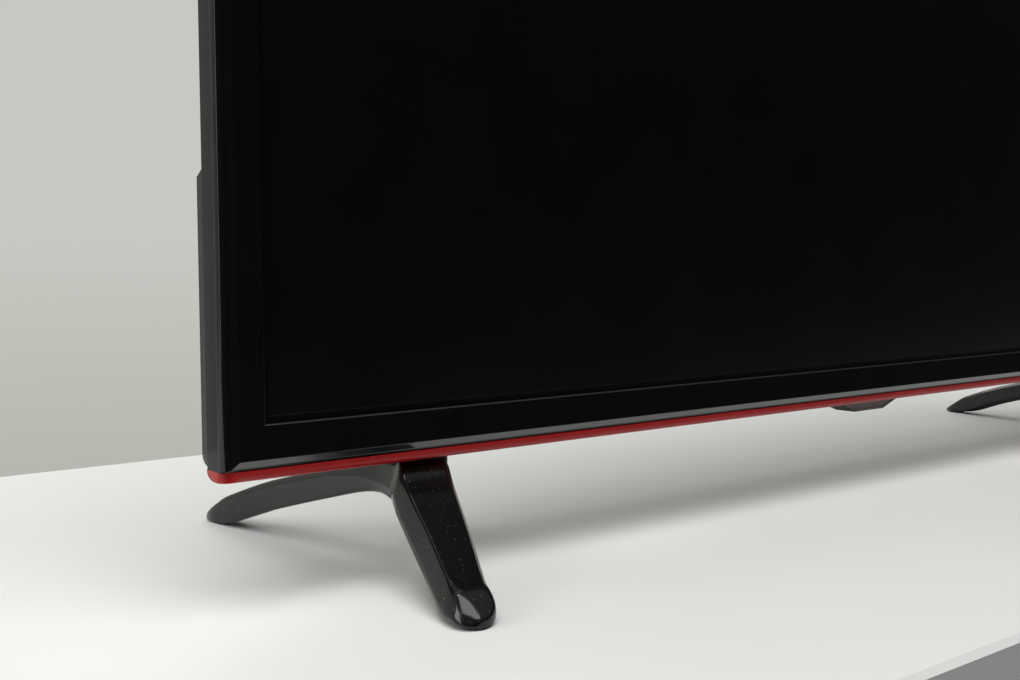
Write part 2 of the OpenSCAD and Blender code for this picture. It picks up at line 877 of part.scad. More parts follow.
module headphone_jack() {
    axis_y = board_back + headphone_w / 2;
    color("#1b1b1c") in_set() difference() {
        union() {
            box([-board_outer_x, -board_outer_x + 12], [board_back, board_back + headphone_w],
                [headphone_z - headphone_w / 2, headphone_z + headphone_w / 2]);
            translate([side_face_x, axis_y, headphone_z]) rotate([0, 90, 0])
                cylinder(r = headphone_r, h = side_recess_x - board_outer_x + socket_proud + 0.1);
        }
        translate([side_face_x - overcut, axis_y, headphone_z]) rotate([0, 90, 0])
            cylinder(r = headphone_bore_r, h = 14);
    }
}

// Three round jacks side by side, facing down, each in a block of its own
module av_jacks() {
    face_z = foot_recess_top - socket_proud;
    color("#1b1b1c") in_set()
        for (i = [0 : 2]) {
            x = jack_x - i * jack_pitch;
            difference() {
                union() {
                    box([x - jack_block_w / 2, x + jack_block_w / 2], [board_back, board_back + 13],
                        [board_z, board_z + 10]);
                    rod_z(x, jack_y, face_z - jack_drop, board_z + 0.1, jack_r);
                }
                rod_z(x, jack_y, face_z - jack_drop - overcut, board_z + 6, jack_bore_r);
            }
        }
}

module antenna_socket() {
    face_z = foot_recess_top - socket_proud;
    color("#c9b26a") in_set() difference() {
        union() {
            rod_z(antenna_x, jack_y, face_z - antenna_drop, tuner_z[0], antenna_r);
            rod_z(antenna_x, jack_y, board_z, tuner_z[0], antenna_r + 0.3);
        }
        rod_z(antenna_x, jack_y, face_z - antenna_drop - overcut, board_z + 4, antenna_bore_r);
    }
}

module optical_socket() {
    face_z = foot_recess_top - socket_proud;
    color("#202022") in_set() difference() {
        box([optical_x - optical_w / 2, optical_x + optical_w / 2], [board_back, board_back + 10],
            [face_z, board_z + 8]);
        box([optical_x - 3, optical_x + 3], [board_back + 2, board_back + 8],
            [face_z - overcut, face_z + 2]);
    }
}

transformer_in = 62;
transformer_up = 70;
transformer_x = board_inner_x + transformer_in;
transformer_z = board_z + transformer_up;
bulk_in = 104;
bulk_up = 66;
bulk_x = board_inner_x + bulk_in;
bulk_z = board_z + bulk_up;
bulk_r = 9;
bulk_l = 36;
power_sink_in = [30, 112];
power_sink_up = 108;
power_sink_x = [for (in = power_sink_in) board_inner_x + in];
power_sink_z = board_z + power_sink_up;

module power_board() {
    color("#b98a4a") in_set() {
        board_plate(1);
        on_board(harness_x, harness_z, harness_socket_w, harness_socket_h, harness_socket_d);
        // Mains filter and fuse beside the inlet
        on_board(mains_x + 38, board_z + 22, 18, 22, 17);
        on_board(mains_x - 27, board_z + 28, 8, 24, 9);
        for (i = [0 : 3])
            small_capacitor(board_inner_x + 40 + 13 * i, board_z + small_capacitor_up, 5, 16);
    }
}

module power_transformer() {
    color("#4a4238") in_set() {
        box([transformer_x - 18, transformer_x + 18], [board_back, board_back + 7],
            [transformer_z - 16, transformer_z + 16]);
        box([transformer_x - 15, transformer_x + 15], [board_back + 6.9, board_back + 17],
            [transformer_z - 11, transformer_z + 11]);
        box([transformer_x - 18, transformer_x + 18], [board_back + 16.9, board_back + 23],
            [transformer_z - 14, transformer_z + 14]);
    }
}

// The large capacitor lies on its side
module bulk_capacitor() {
    color("#23272e") in_set() translate([bulk_x, board_back + bulk_r + 0.1, bulk_z - bulk_l / 2])
        rotate_extrude() polygon([
            [0, 0],
            [bulk_r - 1, 0],
            [bulk_r, 1],
            [bulk_r, 3],
            [bulk_r - 0.8, 4],
            [bulk_r, 5],
            [bulk_r, bulk_l - 1],
            [bulk_r - 1, bulk_l],
            [0, bulk_l]
        ]);
}

module power_heatsinks() {
    color("#8d9297") in_set()
        for (x = power_sink_x) {
            box([x - 14, x + 14], [board_back, board_back + 22], [power_sink_z - 1, power_sink_z + 1]);
            for (i = [-2 : 2])
                box([x + i * 6 - 0.8, x + i * 6 + 0.8], [board_back + 4, board_back + 22],
                    [power_sink_z + 0.9, power_sink_z + 7]);
        }
}

// Two-pin inlet facing down, with a figure-of-eight mouth
module mains_inlet() {
    face_z = foot_recess_top - socket_proud;
    mouth_r = 4.4;
    pin_half_pitch = 4.3;
    pin_r = 1.2;
    depth = 9;
    color("#161617") in_set() {
        difference() {
            union() {
                box([mains_x - mains_w / 2, mains_x + mains_w / 2],
                    [mains_y - mains_h / 2, mains_y + mains_h / 2], [face_z, board_z + 14]);
                box([mains_x - mains_w / 2, mains_x + mains_w / 2], [board_back, mains_y],
                    [board_z + 4, board_z + 14]);
            }
            for (s = [-1, 1])
                rod_z(mains_x + s * pin_half_pitch, mains_y, face_z - overcut, face_z + depth, mouth_r);
            box([mains_x - pin_half_pitch, mains_x + pin_half_pitch],
                [mains_y - mouth_r, mains_y + mouth_r], [face_z - overcut, face_z + depth]);
        }
        for (s = [-1, 1])
            rod_z(mains_x + s * pin_half_pitch, mains_y, face_z + 1, face_z + depth + 0.1, pin_r);
    }
}

// Flat bundle of wires between the two boards, sagging a little towards the pan
module power_harness() {
    end_x = harness_x - harness_socket_w / 2 - 0.1;
    end_y = board_back + harness_socket_d / 2;
    sag = 4;
    wire_t = 1.6;
    steps = 12;
    curve = [
        for (i = [0 : steps])
            [end_x * (2 * i / steps - 1), end_y - sag * (1 - pow(2 * i / steps - 1, 2))]
    ];
    back = [for (p = reversed(curve)) [p[0], p[1] + wire_t]];
    color("#d8d2c4") in_set()
        translate([0, 0, harness_z - 9]) linear_extrude(18) polygon(concat(curve, back));
}

module board_screws() {
    color(steel) in_set()
        for (p = board_hole_spots) {
            rod_y(p[0], p[1], board_back, board_back + 1.8, 2.9);
            rod_y(p[0], p[1], board_back - 6, board_back + 0.1, board_pilot_r - screw_slack);
        }
}

// Racetrack outline of a speaker, lying flat
module racetrack(half_l, r) {
    rectangle(-half_l + r, half_l - r, -r, r);
    for (s = [-1, 1]) translate([s * (half_l - r), 0]) circle(r);
}

peg_spots = [
    for (s = [-1, 1]) [s * ((speaker_x[1] - speaker_x[0]) / 2 + grommet_flange_r + slack), speaker_mid_y]
];

module speaker_box(side) {
    color("#19191a") in_set() mirror([side < 0 ? 1 : 0, 0, 0]) difference() {
        union() {
            box(speaker_x, speaker_y, [speaker_z, speaker_z + speaker_h]);
            for (p = peg_spots) translate([speaker_mid_x, 0, 0]) speaker_ear(p);
        }
        translate([speaker_mid_x, speaker_mid_y, speaker_z - overcut])
            linear_extrude(magnet_h + 2 + overcut) racetrack(magnet_r + 8, magnet_r + 1);
        for (p = peg_spots)
            rod_z(speaker_mid_x + p[0], p[1], ear_z - overcut, ear_z + ear_t + overcut, grommet_r + 0.1);
    }
}

// Ear beside a speaker box, round a rubber grommet
module speaker_ear(p) {
    inner = (speaker_x[1] - speaker_x[0]) / 2 - 0.1;
    rod_z(p[0], p[1], ear_z, ear_z + ear_t, grommet_flange_r);
    box([min(p[0], sign(p[0]) * inner), max(p[0], sign(p[0]) * inner)],
        [p[1] - grommet_flange_r, p[1] + grommet_flange_r], [ear_z, ear_z + ear_t]);
}

module speaker_box_left() { speaker_box(-1); }
module speaker_box_right() { speaker_box(1); }

// Driver that fires down: frame plate, sunk cone, dust cap and magnet
module speaker_driver(side) {
    half_l = 24;
    r = 11;
    rim = 3;
    cone_sink = 1.2;
    dust_cap_z = 0.3;
    color("#2b2b2d") in_set() translate([side * speaker_mid_x, speaker_mid_y, driver_z]) {
        difference() {
            linear_extrude(driver_t) racetrack(half_l, r);
            translate([0, 0, -overcut])
                linear_extrude(overcut + cone_sink) racetrack(half_l - rim, r - rim);
        }
        translate([0, 0, dust_cap_z]) cylinder(r1 = 3, r2 = 4.5, h = cone_sink - dust_cap_z + 0.1);
        translate([0, 0, driver_t - 0.1]) cylinder(r = magnet_r, h = magnet_h);
    }
}

module speaker_driver_left() { speaker_driver(-1); }
module speaker_driver_right() { speaker_driver(1); }

module speaker_grommets() {
    color("#101011") in_set()
        for (s = [-1, 1], p = peg_spots) translate([s * speaker_mid_x + p[0], p[1], ear_z])
            rotate_extrude() polygon([
                [peg_r + 0.1, -grommet_flange_t],
                [grommet_flange_r, -grommet_flange_t],
                [grommet_flange_r, 0],
                [grommet_r, 0],
                [grommet_r, ear_t],
                [grommet_flange_r, ear_t],
                [grommet_flange_r, ear_t + grommet_flange_t],
                [peg_r + 0.1, ear_t + grommet_flange_t]
            ]);
}

module key_board() {
    color(board_green) in_set()
        upright(pan_back, pan_back + key_board_t)
            rounded(key_x - 8, key_x + 8,
                    key_mid_z - key_panel_half_h + 2, key_mid_z + key_panel_half_h - 2, 2);
}

module key_switches() {
    base = pan_back + key_board_t;
    color("#2c2c2e") in_set()
        for (i = [0 : key_count - 1]) {
            box([key_x - switch_half_w, key_x + switch_half_w], [base, base + switch_body_h],
                [key_z(i) - switch_half_w, key_z(i) + switch_half_w]);
            rod_y(key_x, key_z(i), base + switch_body_h - 0.1, key_back_y - switch_gap, 1.6);
        }
}

// A key: a cap through the key panel with a flange behind it
module key(i) {
    color("#1c1c1e") in_set() {
        upright(key_back_y, key_back_y + key_flange_t)
            rounded(key_x - key_w / 2 - key_flange, key_x + key_w / 2 + key_flange,
                    key_z(i) - key_h / 2 - key_flange, key_z(i) + key_h / 2 + key_flange, key_r);
        upright(key_back_y + key_flange_t - 0.1, key_panel_y + key_proud)
            rounded(key_x - key_w / 2, key_x + key_w / 2,
                    key_z(i) - key_h / 2, key_z(i) + key_h / 2, key_r);
    }
}

module power_key() { key(0); }
module source_key() { key(1); }
module menu_key() { key(2); }
module channel_up_key() { key(3); }
module channel_down_key() { key(4); }
module volume_up_key() { key(5); }
module volume_down_key() { key(6); }

module ir_window() {
    color("#1a1a1d", 0.9) in_set() {
        upright(pod_y, pod_y + pod_d) polygon([
            [-pod_top_w / 2, cover_foot],
            [-pod_bottom_w / 2, cover_foot - pod_h],
            [pod_bottom_w / 2, cover_foot - pod_h],
            [pod_top_w / 2, cover_foot]
        ]);
        box([-pod_plug_half_w, pod_plug_half_w],
            [pod_y + pod_plug_inset, pod_y + pod_d - pod_plug_inset], [cover_foot - 0.1, cover_floor]);
    }
}

module ir_board() {
    color(board_green) in_set() {
        box([-16, 16], [pod_y + 2, pod_y + pod_d - 1], [cover_floor, cover_floor + ir_board_t]);
        box([-4, 4], [pod_y + 3.5, pod_y + 8],
            [cover_floor + ir_board_t - 0.1, cover_floor + ir_board_t + 4]);
    }
}

// Thin plate of the cover at depth y, with its upper corners rounded
module cover_layer(x, z0, z1, y, r) {
    upright(y, y + layer_t) {
        rounded(-x, x, z0, z1, r);
        rectangle(-x, x, z0, z0 + 2 * r);
    }
}

// Slim back: from the frame's outline to the flat back
module slim_back(w) {
    hull() {
        cover_layer(cover_x - w, cover_foot + w, cover_top - w, frame_depth - (w > 0 ? overcut : 0), 3);
        cover_layer(cover_x - plateau_inset - w, cover_foot + w, cover_top - plateau_inset - w,
                    plateau_y - w - layer_t, 8);
    }
}

// Raised housing for the boards and speakers: straight sides, then a sloped shoulder
module housing(w) {
    root_x = housing_w / 2;
    root_top = cover_foot + housing_h;
    shoulder_y = housing_y - shoulder_d;
    shoulder_x = root_x - housing_draft;
    shoulder_top = root_top - housing_draft;
    face_x = shoulder_x - shoulder_w;
    face_top = shoulder_top - shoulder_w;
    hull() {
        cover_layer(root_x - w, cover_foot + w, root_top - w, frame_depth - (w > 0 ? overcut : 0), 8);
        cover_layer(shoulder_x - w, cover_foot + w, shoulder_top - w, shoulder_y - w / 2, 12);
        cover_layer(face_x - w, cover_foot + w, face_top - w, housing_y - housing_edge - w, 12);
        cover_layer(face_x - w, cover_foot + housing_edge + w, face_top - w, housing_y - w - layer_t, 12);
    }
}

// Lower wings that back the frame
module wings(w) {
    front = frame_depth - (w > 0 ? overcut : 0);
    along_x(-cover_x + w, cover_x - w) polygon([
        [front, cover_foot + w],
        [wing_y - wing_edge - w / 2, cover_foot + w],
        [wing_y - w, cover_foot + wing_edge + w / 2],
        [wing_y - w, wing_top - w],
        [front, wing_top + wing_slope - w]
    ]);
}

// Raised panel that the keys come through
module key_panel(w) {
    upright(plateau_y - cover_wall - overcut, key_panel_y - w)
        rounded(key_x - key_panel_half_w + w, key_x + key_panel_half_w - w,
                key_mid_z - key_panel_half_h + w, key_mid_z + key_panel_half_h - w, 5 - w);
}

module cover_body(w) {
    intersection() {
        union() {
            slim_back(w);
            housing(w);
            wings(w);
            key_panel(w);
        }
        // Its lower corners are rounded
        upright(frame_depth - overcut, housing_y + overcut)
            rounded(w - cover_x, cover_x - w, cover_foot + w, cover_top + cover_corner_r,
                    cover_corner_r - w);
    }
}

// Recesses that plugs go into: one at the side, two at the foot
module recesses(w) {
    deep = housing_y + overcut;
    box([-cover_x - overcut, -side_recess_x + w], [plateau_y - w, deep],
        [side_recess_z[0] - w, side_recess_z[1] + w]);
    for (x = [socket_recess_x, mains_recess_x])
        box([x[0] - w, x[1] + w], [foot_recess_y - w, deep], [cover_foot - overcut, foot_recess_top + w]);
}

// Slot with round ends, cut along Y
module slot_y(x, z, w, h, y0, y1) {
    upright(y0, y1) rounded(x - w / 2, x + w / 2, z - h / 2, z + h / 2, w / 2 - layer_t);
}

vent_w = 3;
vent_pitch = 10;
vent_count = 33;
foot_slot_pitch = 6;

module vents() {
    root_top = cover_foot + housing_h;
    for (i = [0 : vent_count - 1])
        slot_y((i - (vent_count - 1) / 2) * vent_pitch, root_top - housing_draft - shoulder_w / 2, vent_w,
               shoulder_w * 0.6, plateau_y + 1, housing_y + overcut);
    // Slots under the speakers
    for (s = [-1, 1], i = [-3 : 3], row = [-1, 1])
        translate([s * speaker_mid_x + i * foot_slot_pitch, speaker_mid_y + row * 5, 0])
            box([-1.2, 1.2], [-4, 4], [cover_foot - overcut, cover_floor + overcut]);
}

module socket_holes() {
    side = [-side_recess_x - overcut, -side_recess_x + cover_wall + overcut];
    for (z = hdmi_z)
        box(side, [board_back - slack, board_back + hdmi_h + slack],
            [z - hdmi_w / 2 - slack, z + hdmi_w / 2 + slack]);
    box(side, [board_back - slack, board_back + usb_h + slack],
        [usb_z - usb_w / 2 - slack, usb_z + usb_w / 2 + slack]);
    translate([side[0], board_back + headphone_w / 2, headphone_z]) rotate([0, 90, 0])
        cylinder(r = headphone_r + slack, h = side[1] - side[0]);
    low = [foot_recess_top - overcut, foot_recess_top + cover_wall + overcut];
    for (i = [0 : 2]) rod_z(jack_x - i * jack_pitch, jack_y, low[0], low[1], jack_r + slack);
    rod_z(antenna_x, jack_y, low[0], low[1], antenna_r + slack);
    box([optical_x - optical_w / 2 - slack, optical_x + optical_w / 2 + slack],
        [board_back - slack, board_back + 10 + slack], low);
    box([mains_x - mains_w / 2 - slack, mains_x + mains_w / 2 + slack],
        [mains_y - mains_h / 2 - slack, mains_y + mains_h / 2 + slack], low);
}

module rear_cover() {
    color("#1b1b1c") in_set() {
        difference() {
            cover_body(0);
            difference() {
                cover_body(cover_wall);
                recesses(cover_wall);
                for (p = cover_screw_spots)
                    rod_y(p[0], p[1], frame_depth, housing_y, screw_head_r + 1.4);
            }
            recesses(0);
            vents();
            socket_holes();
            for (i = [0 : key_count - 1])
                upright(key_panel_y - cover_wall - overcut, key_panel_y + overcut)
                    rounded(key_x - key_hole_half_w, key_x + key_hole_half_w,
                            key_z(i) - key_hole_half_h, key_z(i) + key_hole_half_h, key_r);
            for (p = cover_screw_spots) {
                rod_y(p[0], p[1], frame_depth - overcut, screw_seat_y + overcut, screw_hole_r);
                rod_y(p[0], p[1], screw_seat_y, housing_y, screw_head_r + slack);
            }
            for (p = post_spots)
                rod_y(p[0], p[1], housing_y - cover_wall - overcut, housing_y + overcut, post_r + slack);
            // Sensor window and foot screws come through the floor
            box([-pod_plug_half_w - slack, pod_plug_half_w + slack],
                [pod_y + pod_plug_inset - slack, pod_y + pod_d - pod_plug_inset + slack],
                [cover_foot - overcut, cover_floor + overcut]);
            for (s = [-1, 1], y = foot_screw_y)
                rod_z(s * foot_x, y, cover_foot - overcut, cover_floor + overcut,
                      foot_screw_hole_r + slack);
        }
        for (s = [-1, 1], p = peg_spots)
            rod_z(s * speaker_mid_x + p[0], p[1], cover_floor - 0.1,
                  ear_z + ear_t + grommet_flange_t, peg_r);
    }
}

// Threaded posts from the pan to the back of the cover
module wall_mount_posts() {
    color("#c7b07a") in_set()
        for (p = post_spots) difference() {
            rod_y(p[0], p[1], pan_back, housing_y, post_r);
            rod_y(p[0], p[1], housing_y - wall_mount_depth, housing_y + overcut, wall_mount_r);
        }
}

module cover_screws() {
    color("#2a2a2c") in_set()
        for (p = cover_screw_spots) {
            rod_y(p[0], p[1], screw_seat_y, screw_seat_y + screw_head_h, screw_head_r);
            rod_y(p[0], p[1], lip_t + 3, screw_seat_y + 0.1, boss_pilot_r - screw_slack);
        }
}

// Steel bracket that ties a foot to the pan through the cover's floor
module stand_bracket(side) {
    color(steel) in_set() mirror([side < 0 ? 1 : 0, 0, 0]) difference() {
        union() {
            box([foot_x - bracket_half_w, foot_x + bracket_half_w], bracket_y,
                [cover_floor, cover_floor + bracket_t]);
            box([foot_x - bracket_half_w, foot_x + bracket_half_w], [pan_back, pan_back + bracket_t],
                [cover_floor, bracket_top]);
            for (y = foot_screw_y) rod_z(foot_x, y, cover_floor, cover_floor + bracket_t + nut_h, nut_r);
            // Two gussets brace the upright plate
            for (s = [-1, 1]) along_x_mid(foot_x + s * (bracket_half_w - 1), 2) polygon([
                [pan_back + bracket_t - 0.1, cover_floor + bracket_t - 0.1],
                [bracket_y[1], cover_floor + bracket_t - 0.1],
                [pan_back + bracket_t - 0.1, cover_floor + 26]
            ]);
        }
        for (y = foot_screw_y)
            rod_z(foot_x, y, cover_floor - overcut, cover_floor + bracket_t + nut_h + overcut,
                  foot_screw_r + screw_slack);
    }
}

// Bar along X with its middle at x
module along_x_mid(x, t) {
    along_x(x - t / 2, x + t / 2) children();
}

module stand_bracket_left() { stand_bracket(-1); }
module stand_bracket_right() { stand_bracket(1); }

// Smooth curve through the stations of a foot, column by column
function station(i) = foot_stations[max(0, min(len(foot_stations) - 1, i))];
function spline(a, b, c, d, t) =
    0.5 * (2 * b + (c - a) * t + (2 * a - 5 * b + 4 * c - d) * pow(t, 2)
           + (3 * b - a - 3 * c + d) * pow(t, 3));
function foot_column(k, u) =
    let (i = min(floor(u), len(foot_stations) - 2))
    spline(station(i - 1)[k], station(i)[k], station(i + 1)[k], station(i + 2)[k], u - i);

// A tip narrows along a quarter circle
function round_in(d, l) = d >= l ? 1 : sqrt(1 - pow(1 - max(0, d) / l, 2));
function tip_share(d) = max(least_tip, round_in(d, tip_r));

// Its height falls over a longer stretch
function tip_height(d, l, least) = least + (1 - least) * round_in(d, l);

// How far the inner lower edge of the rear leg stands above the outer one
function inner_lift(place) =
    inner_lift_h * min(1, max(0, place - inner_lift_places[0]) / inner_lift_run)
    * min(1, max(0, inner_lift_places[1] - place) / inner_lift_run);

// One ring of a foot: eight corners, with a wide outer facet and narrower others
function foot_ring(u) =
    let (
        place = foot_column(0, u),
        y = neck_y + place * (place < 0 ? front_reach : rear_reach),
        out = max(0, foot_column(1, u)) * (place < 0 ? front_splay : rear_splay),
        end = min(y - neck_y + front_reach, neck_y + rear_reach - y),
        share = tip_share(end),
        half = foot_column(4, u) / 2 * share,
        low = table_z + foot_base + max(0, foot_column(3, u)) * rise,
        kept = place < 0
            ? tip_height(end, front_tip_l, front_tip_h)
            : tip_height(end, rear_tip_l, rear_tip_h),
        height = (table_z + foot_base + foot_column(2, u) * rise - low) * kept,
        lift = inner_lift(place),
        fade = max(rear_facet_share, 1 - 2.5 * max(0, place)),
        facet_w = min(outer_facet_w, half * 0.6) * fade,
        facet_h = min(outer_facet_h, height * outer_facet_share) * fade,
        thin = min(inner_facet, half * 0.3, height * 0.25),
        under = min(lower_facet, half * 0.3, height * 0.2) * fade,
        x = foot_x + out
    )
    [
        [x + half, y, low + under],
        [x + half, y, low + height - facet_h],
        [x + half - facet_w, y, low + height],
        [x - half + thin, y, low + height],
        [x - half, y, low + height - thin],
        [x - half, y, low + under + lift],
        [x - half + under, y, low + lift],
        [x + half - under, y, low]
    ];

// Solid between rings of equal count, closed at both ends
module loft(rings) {
    n = len(rings[0]);
    last = len(rings) - 1;
    points = [for (r = rings) each r];
    walls = [
        for (i = [0 : last - 1], j = [0 : n - 1])
            let (k = (j + 1) % n)
            each [
                [i * n + j, i * n + k, (i + 1) * n + j],
                [i * n + k, (i + 1) * n + k, (i + 1) * n + j]
            ]
    ];
    front_cap = [[for (j = [n - 1 : -1 : 0]) j]];
    rear_cap = [[for (j = [0 : n - 1]) last * n + j]];
    polyhedron(points, concat(walls, front_cap, rear_cap));
}

// Place of a ring along the stations, closer together at the tips
function ring_place(i) =
    let (t = i / foot_rings)
    (len(foot_stations) - 1) * (t - 0.09 * sin(360 * t));

pad_places = [neck_y - front_reach + pad_half_l + 2, neck_y + rear_reach - pad_half_l - 3.5];
pad_out = [0.945 * front_splay, 0.98 * rear_splay];

module pad_outline(grow) {
    rounded(-pad_half_w - grow, pad_half_w + grow, -pad_half_l - grow, pad_half_l + grow, 3);
}

module foot(side) {
    color(black) in_set() mirror([side < 0 ? 1 : 0, 0, 0]) difference() {
        union() {
            loft([for (i = [0 : foot_rings]) foot_ring(ring_place(i))]);
            // Neck up to the cover
            translate([foot_x, neck_y, cover_foot - neck_h]) linear_extrude(neck_h)
                rounded(-neck_half_w, neck_half_w, -neck_half_l, neck_half_l, neck_r);
        }
        for (y = foot_screw_y) {
            rod_z(foot_x, y, table_z, cover_foot + overcut, foot_screw_hole_r);
            rod_z(foot_x, y, table_z, foot_screw_seat, foot_screw_recess_r);
        }
        for (i = [0, 1])
            translate([foot_x + pad_out[i], pad_places[i], table_z - overcut])
                linear_extrude(pad_t + overcut) pad_outline(0.1);
    }
}

module foot_left() { foot(-1); }
module foot_right() { foot(1); }

module foot_pads() {
    color("#0d0d0e") in_set()
        for (s = [-1, 1], i = [0, 1])
            translate([s * (foot_x + pad_out[i]), pad_places[i], table_z])
                linear_extrude(pad_t) pad_outline(0);
}

module foot_screws() {
    color("#2a2a2c") in_set()
        for (s = [-1, 1], y = foot_screw_y) {
            rod_z(s * foot_x, y, foot_screw_seat - foot_screw_head_h, foot_screw_seat, foot_screw_head_r);
            rod_z(s * foot_x, y, foot_screw_seat - 0.1, cover_floor + bracket_t + nut_h, foot_screw_r);
        }
}

front_bezel();
bottom_trim();
panel_gasket();
lcd_panel();
mid_frame();
prism_sheet();
diffuser_sheet();
diffuser_plate();
reflector_sheet();
led_bar_top();
led_bar_middle();
led_bar_bottom();
led_lenses();
diffuser_posts();
back_pan();
source_board();
source_films();
panel_ribbon();
main_board();
soc_heatsink();
tuner_can();
hdmi_sockets();
usb_socket();
headphone_jack();
av_jacks();
antenna_socket();
optical_socket();
power_board();
power_transformer();
bulk_capacitor();
power_heatsinks();
mains_inlet();
power_harness();
board_screws();
speaker_box_left();
speaker_box_right();
speaker_driver_left();
speaker_driver_right();
speaker_grommets();
key_board();
key_switches();
power_key();
source_key();
menu_key();
channel_up_key();
channel_down_key();
volume_up_key();
volume_down_key();
ir_window();
ir_board();
rear_cover();
wall_mount_posts();
cover_screws();
stand_bracket_left();
stand_bracket_right();
foot_left();
foot_right();
foot_pads();
foot_screws();
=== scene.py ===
import json
import math

import bmesh
import bpy
from mathutils import Matrix, Vector


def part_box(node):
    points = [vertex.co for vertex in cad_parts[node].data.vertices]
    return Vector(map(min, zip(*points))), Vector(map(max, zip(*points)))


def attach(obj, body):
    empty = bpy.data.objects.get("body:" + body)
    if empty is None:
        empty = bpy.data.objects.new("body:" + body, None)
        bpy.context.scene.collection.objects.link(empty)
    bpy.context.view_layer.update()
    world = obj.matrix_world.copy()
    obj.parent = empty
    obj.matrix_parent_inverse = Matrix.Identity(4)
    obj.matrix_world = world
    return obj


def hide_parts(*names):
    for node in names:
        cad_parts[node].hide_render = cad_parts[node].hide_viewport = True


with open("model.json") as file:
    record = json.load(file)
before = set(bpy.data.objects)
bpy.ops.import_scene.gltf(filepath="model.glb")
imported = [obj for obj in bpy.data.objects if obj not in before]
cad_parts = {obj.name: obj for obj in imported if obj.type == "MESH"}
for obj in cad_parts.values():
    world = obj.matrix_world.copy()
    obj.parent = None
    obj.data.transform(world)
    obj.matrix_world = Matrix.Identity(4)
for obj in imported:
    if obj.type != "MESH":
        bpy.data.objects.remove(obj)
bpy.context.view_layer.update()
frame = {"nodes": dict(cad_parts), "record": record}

MM = 0.001
TINY = 1e-6
QUARTER = math.pi / 2
SET = "set"

# Places taken from the solids: the front plane, the frame's outline and the red bar
bezel_low, bezel_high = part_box("front_bezel")
trim_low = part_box("bottom_trim")[0]
FRONT_Y = bezel_low.y
FRAME_X = bezel_high.x
FRAME_BOTTOM = bezel_low.z
TRIM_BOTTOM = trim_low.z

# Sizes of the front, in millimetres
PICTURE_W = 697.7
PICTURE_H = 392.3
SIDE_FLAT = 9.2
BOTTOM_FLAT = 11.4
BEVEL_W = 2.2
BEVEL_D = 1.2
SIDE_EDGE_R = 3.25
BOTTOM_EDGE_R = 1.0
FRAME_DEPTH = 13.0
FRAME_WALL = 2.0
LIP_T = 1.8
LIP_EDGE = 0.35
SIDE_BORDER = SIDE_FLAT + BEVEL_W + SIDE_EDGE_R
BOTTOM_BORDER = BOTTOM_FLAT + BEVEL_W + BOTTOM_EDGE_R
HALF_W = PICTURE_W / 2
PICTURE_Z = FRAME_BOTTOM / MM + BOTTOM_BORDER


def in_set(x, y, z):
    """A point measured in millimetres from the picture's foot and the front plane."""
    return Vector((x * MM, FRONT_Y + y * MM, (z + PICTURE_Z) * MM))


# Materials
MOTTLE_DETAIL = 4.0
GRAIN_DETAIL = 3.0
SPECK_DETAIL = 1.0
TINT_PLACES = (0.3, 0.7)
LEAST_ROUGH = 0.02
COAT_ROUGH = 0.05
RELIEF = 0.0004
SPECK_COLOUR = (0.55, 0.55, 0.52)
SPECK_EDGE = 0.03
FILM_COLOUR = (0.32, 0.31, 0.29)
FILM_LEAST_UP = 0.35


def noise_node(tree, coords, scale, stretch, detail):
    """Noise over the object, finer along the axes that are stretched more."""
    mapping = tree.nodes.new("ShaderNodeMapping")
    mapping.inputs["Scale"].default_value = stretch
    noise = tree.nodes.new("ShaderNodeTexNoise")
    noise.inputs["Scale"].default_value = scale
    noise.inputs["Detail"].default_value = detail
    tree.links.new(coords.outputs["Object"], mapping.inputs["Vector"])
    tree.links.new(mapping.outputs["Vector"], noise.inputs["Vector"])
    return noise.outputs["Fac"]


def ramp_node(tree, source, stops):
    """Colour ramp with (place, colour) stops."""
    ramp = tree.nodes.new("ShaderNodeValToRGB")
    elements = ramp.color_ramp.elements
    while len(elements) < len(stops):
        elements.new(0.5)
    for element, (place, colour) in zip(elements, stops):
        element.position = place
        element.color = (*colour, 1)
    tree.links.new(source, ramp.inputs["Fac"])
    return ramp.outputs["Color"]


def range_node(tree, source, start, stop, low=0.0, high=1.0):
    """A value that goes from low to high as the source goes from start to stop."""
    scaled = tree.nodes.new("ShaderNodeMapRange")
    scaled.inputs["From Min"].default_value = start
    scaled.inputs["From Max"].default_value = stop
    scaled.inputs["To Min"].default_value = low
    scaled.inputs["To Max"].default_value = high
    tree.links.new(source, scaled.inputs["Value"])
    return scaled.outputs["Result"]


def blend_node(tree, factor, base, colour):
    """Mixes a colour over a base."""
    mix = tree.nodes.new("ShaderNodeMix")
    mix.data_type = "RGBA"
    mix.inputs["B"].default_value = (*colour, 1)
    tree.links.new(factor, mix.inputs["Factor"])
    tree.links.new(base, mix.inputs["A"])
    return mix


def settled_dust(tree, mottle, amount):
    """How much dust lies at a place: none on upright faces, most on those that look up."""
    geometry = tree.nodes.new("ShaderNodeNewGeometry")
    parts = tree.nodes.new("ShaderNodeSeparateXYZ")
    tree.links.new(geometry.outputs["Normal"], parts.inputs["Vector"])
    patch = tree.nodes.new("ShaderNodeMath")
    patch.operation = "MULTIPLY"
    tree.links.new(range_node(tree, parts.outputs["Z"], FILM_LEAST_UP, 1.0, 0.0, amount), patch.inputs[0])
    tree.links.new(mottle, patch.inputs[1])
    return patch.outputs["Value"]


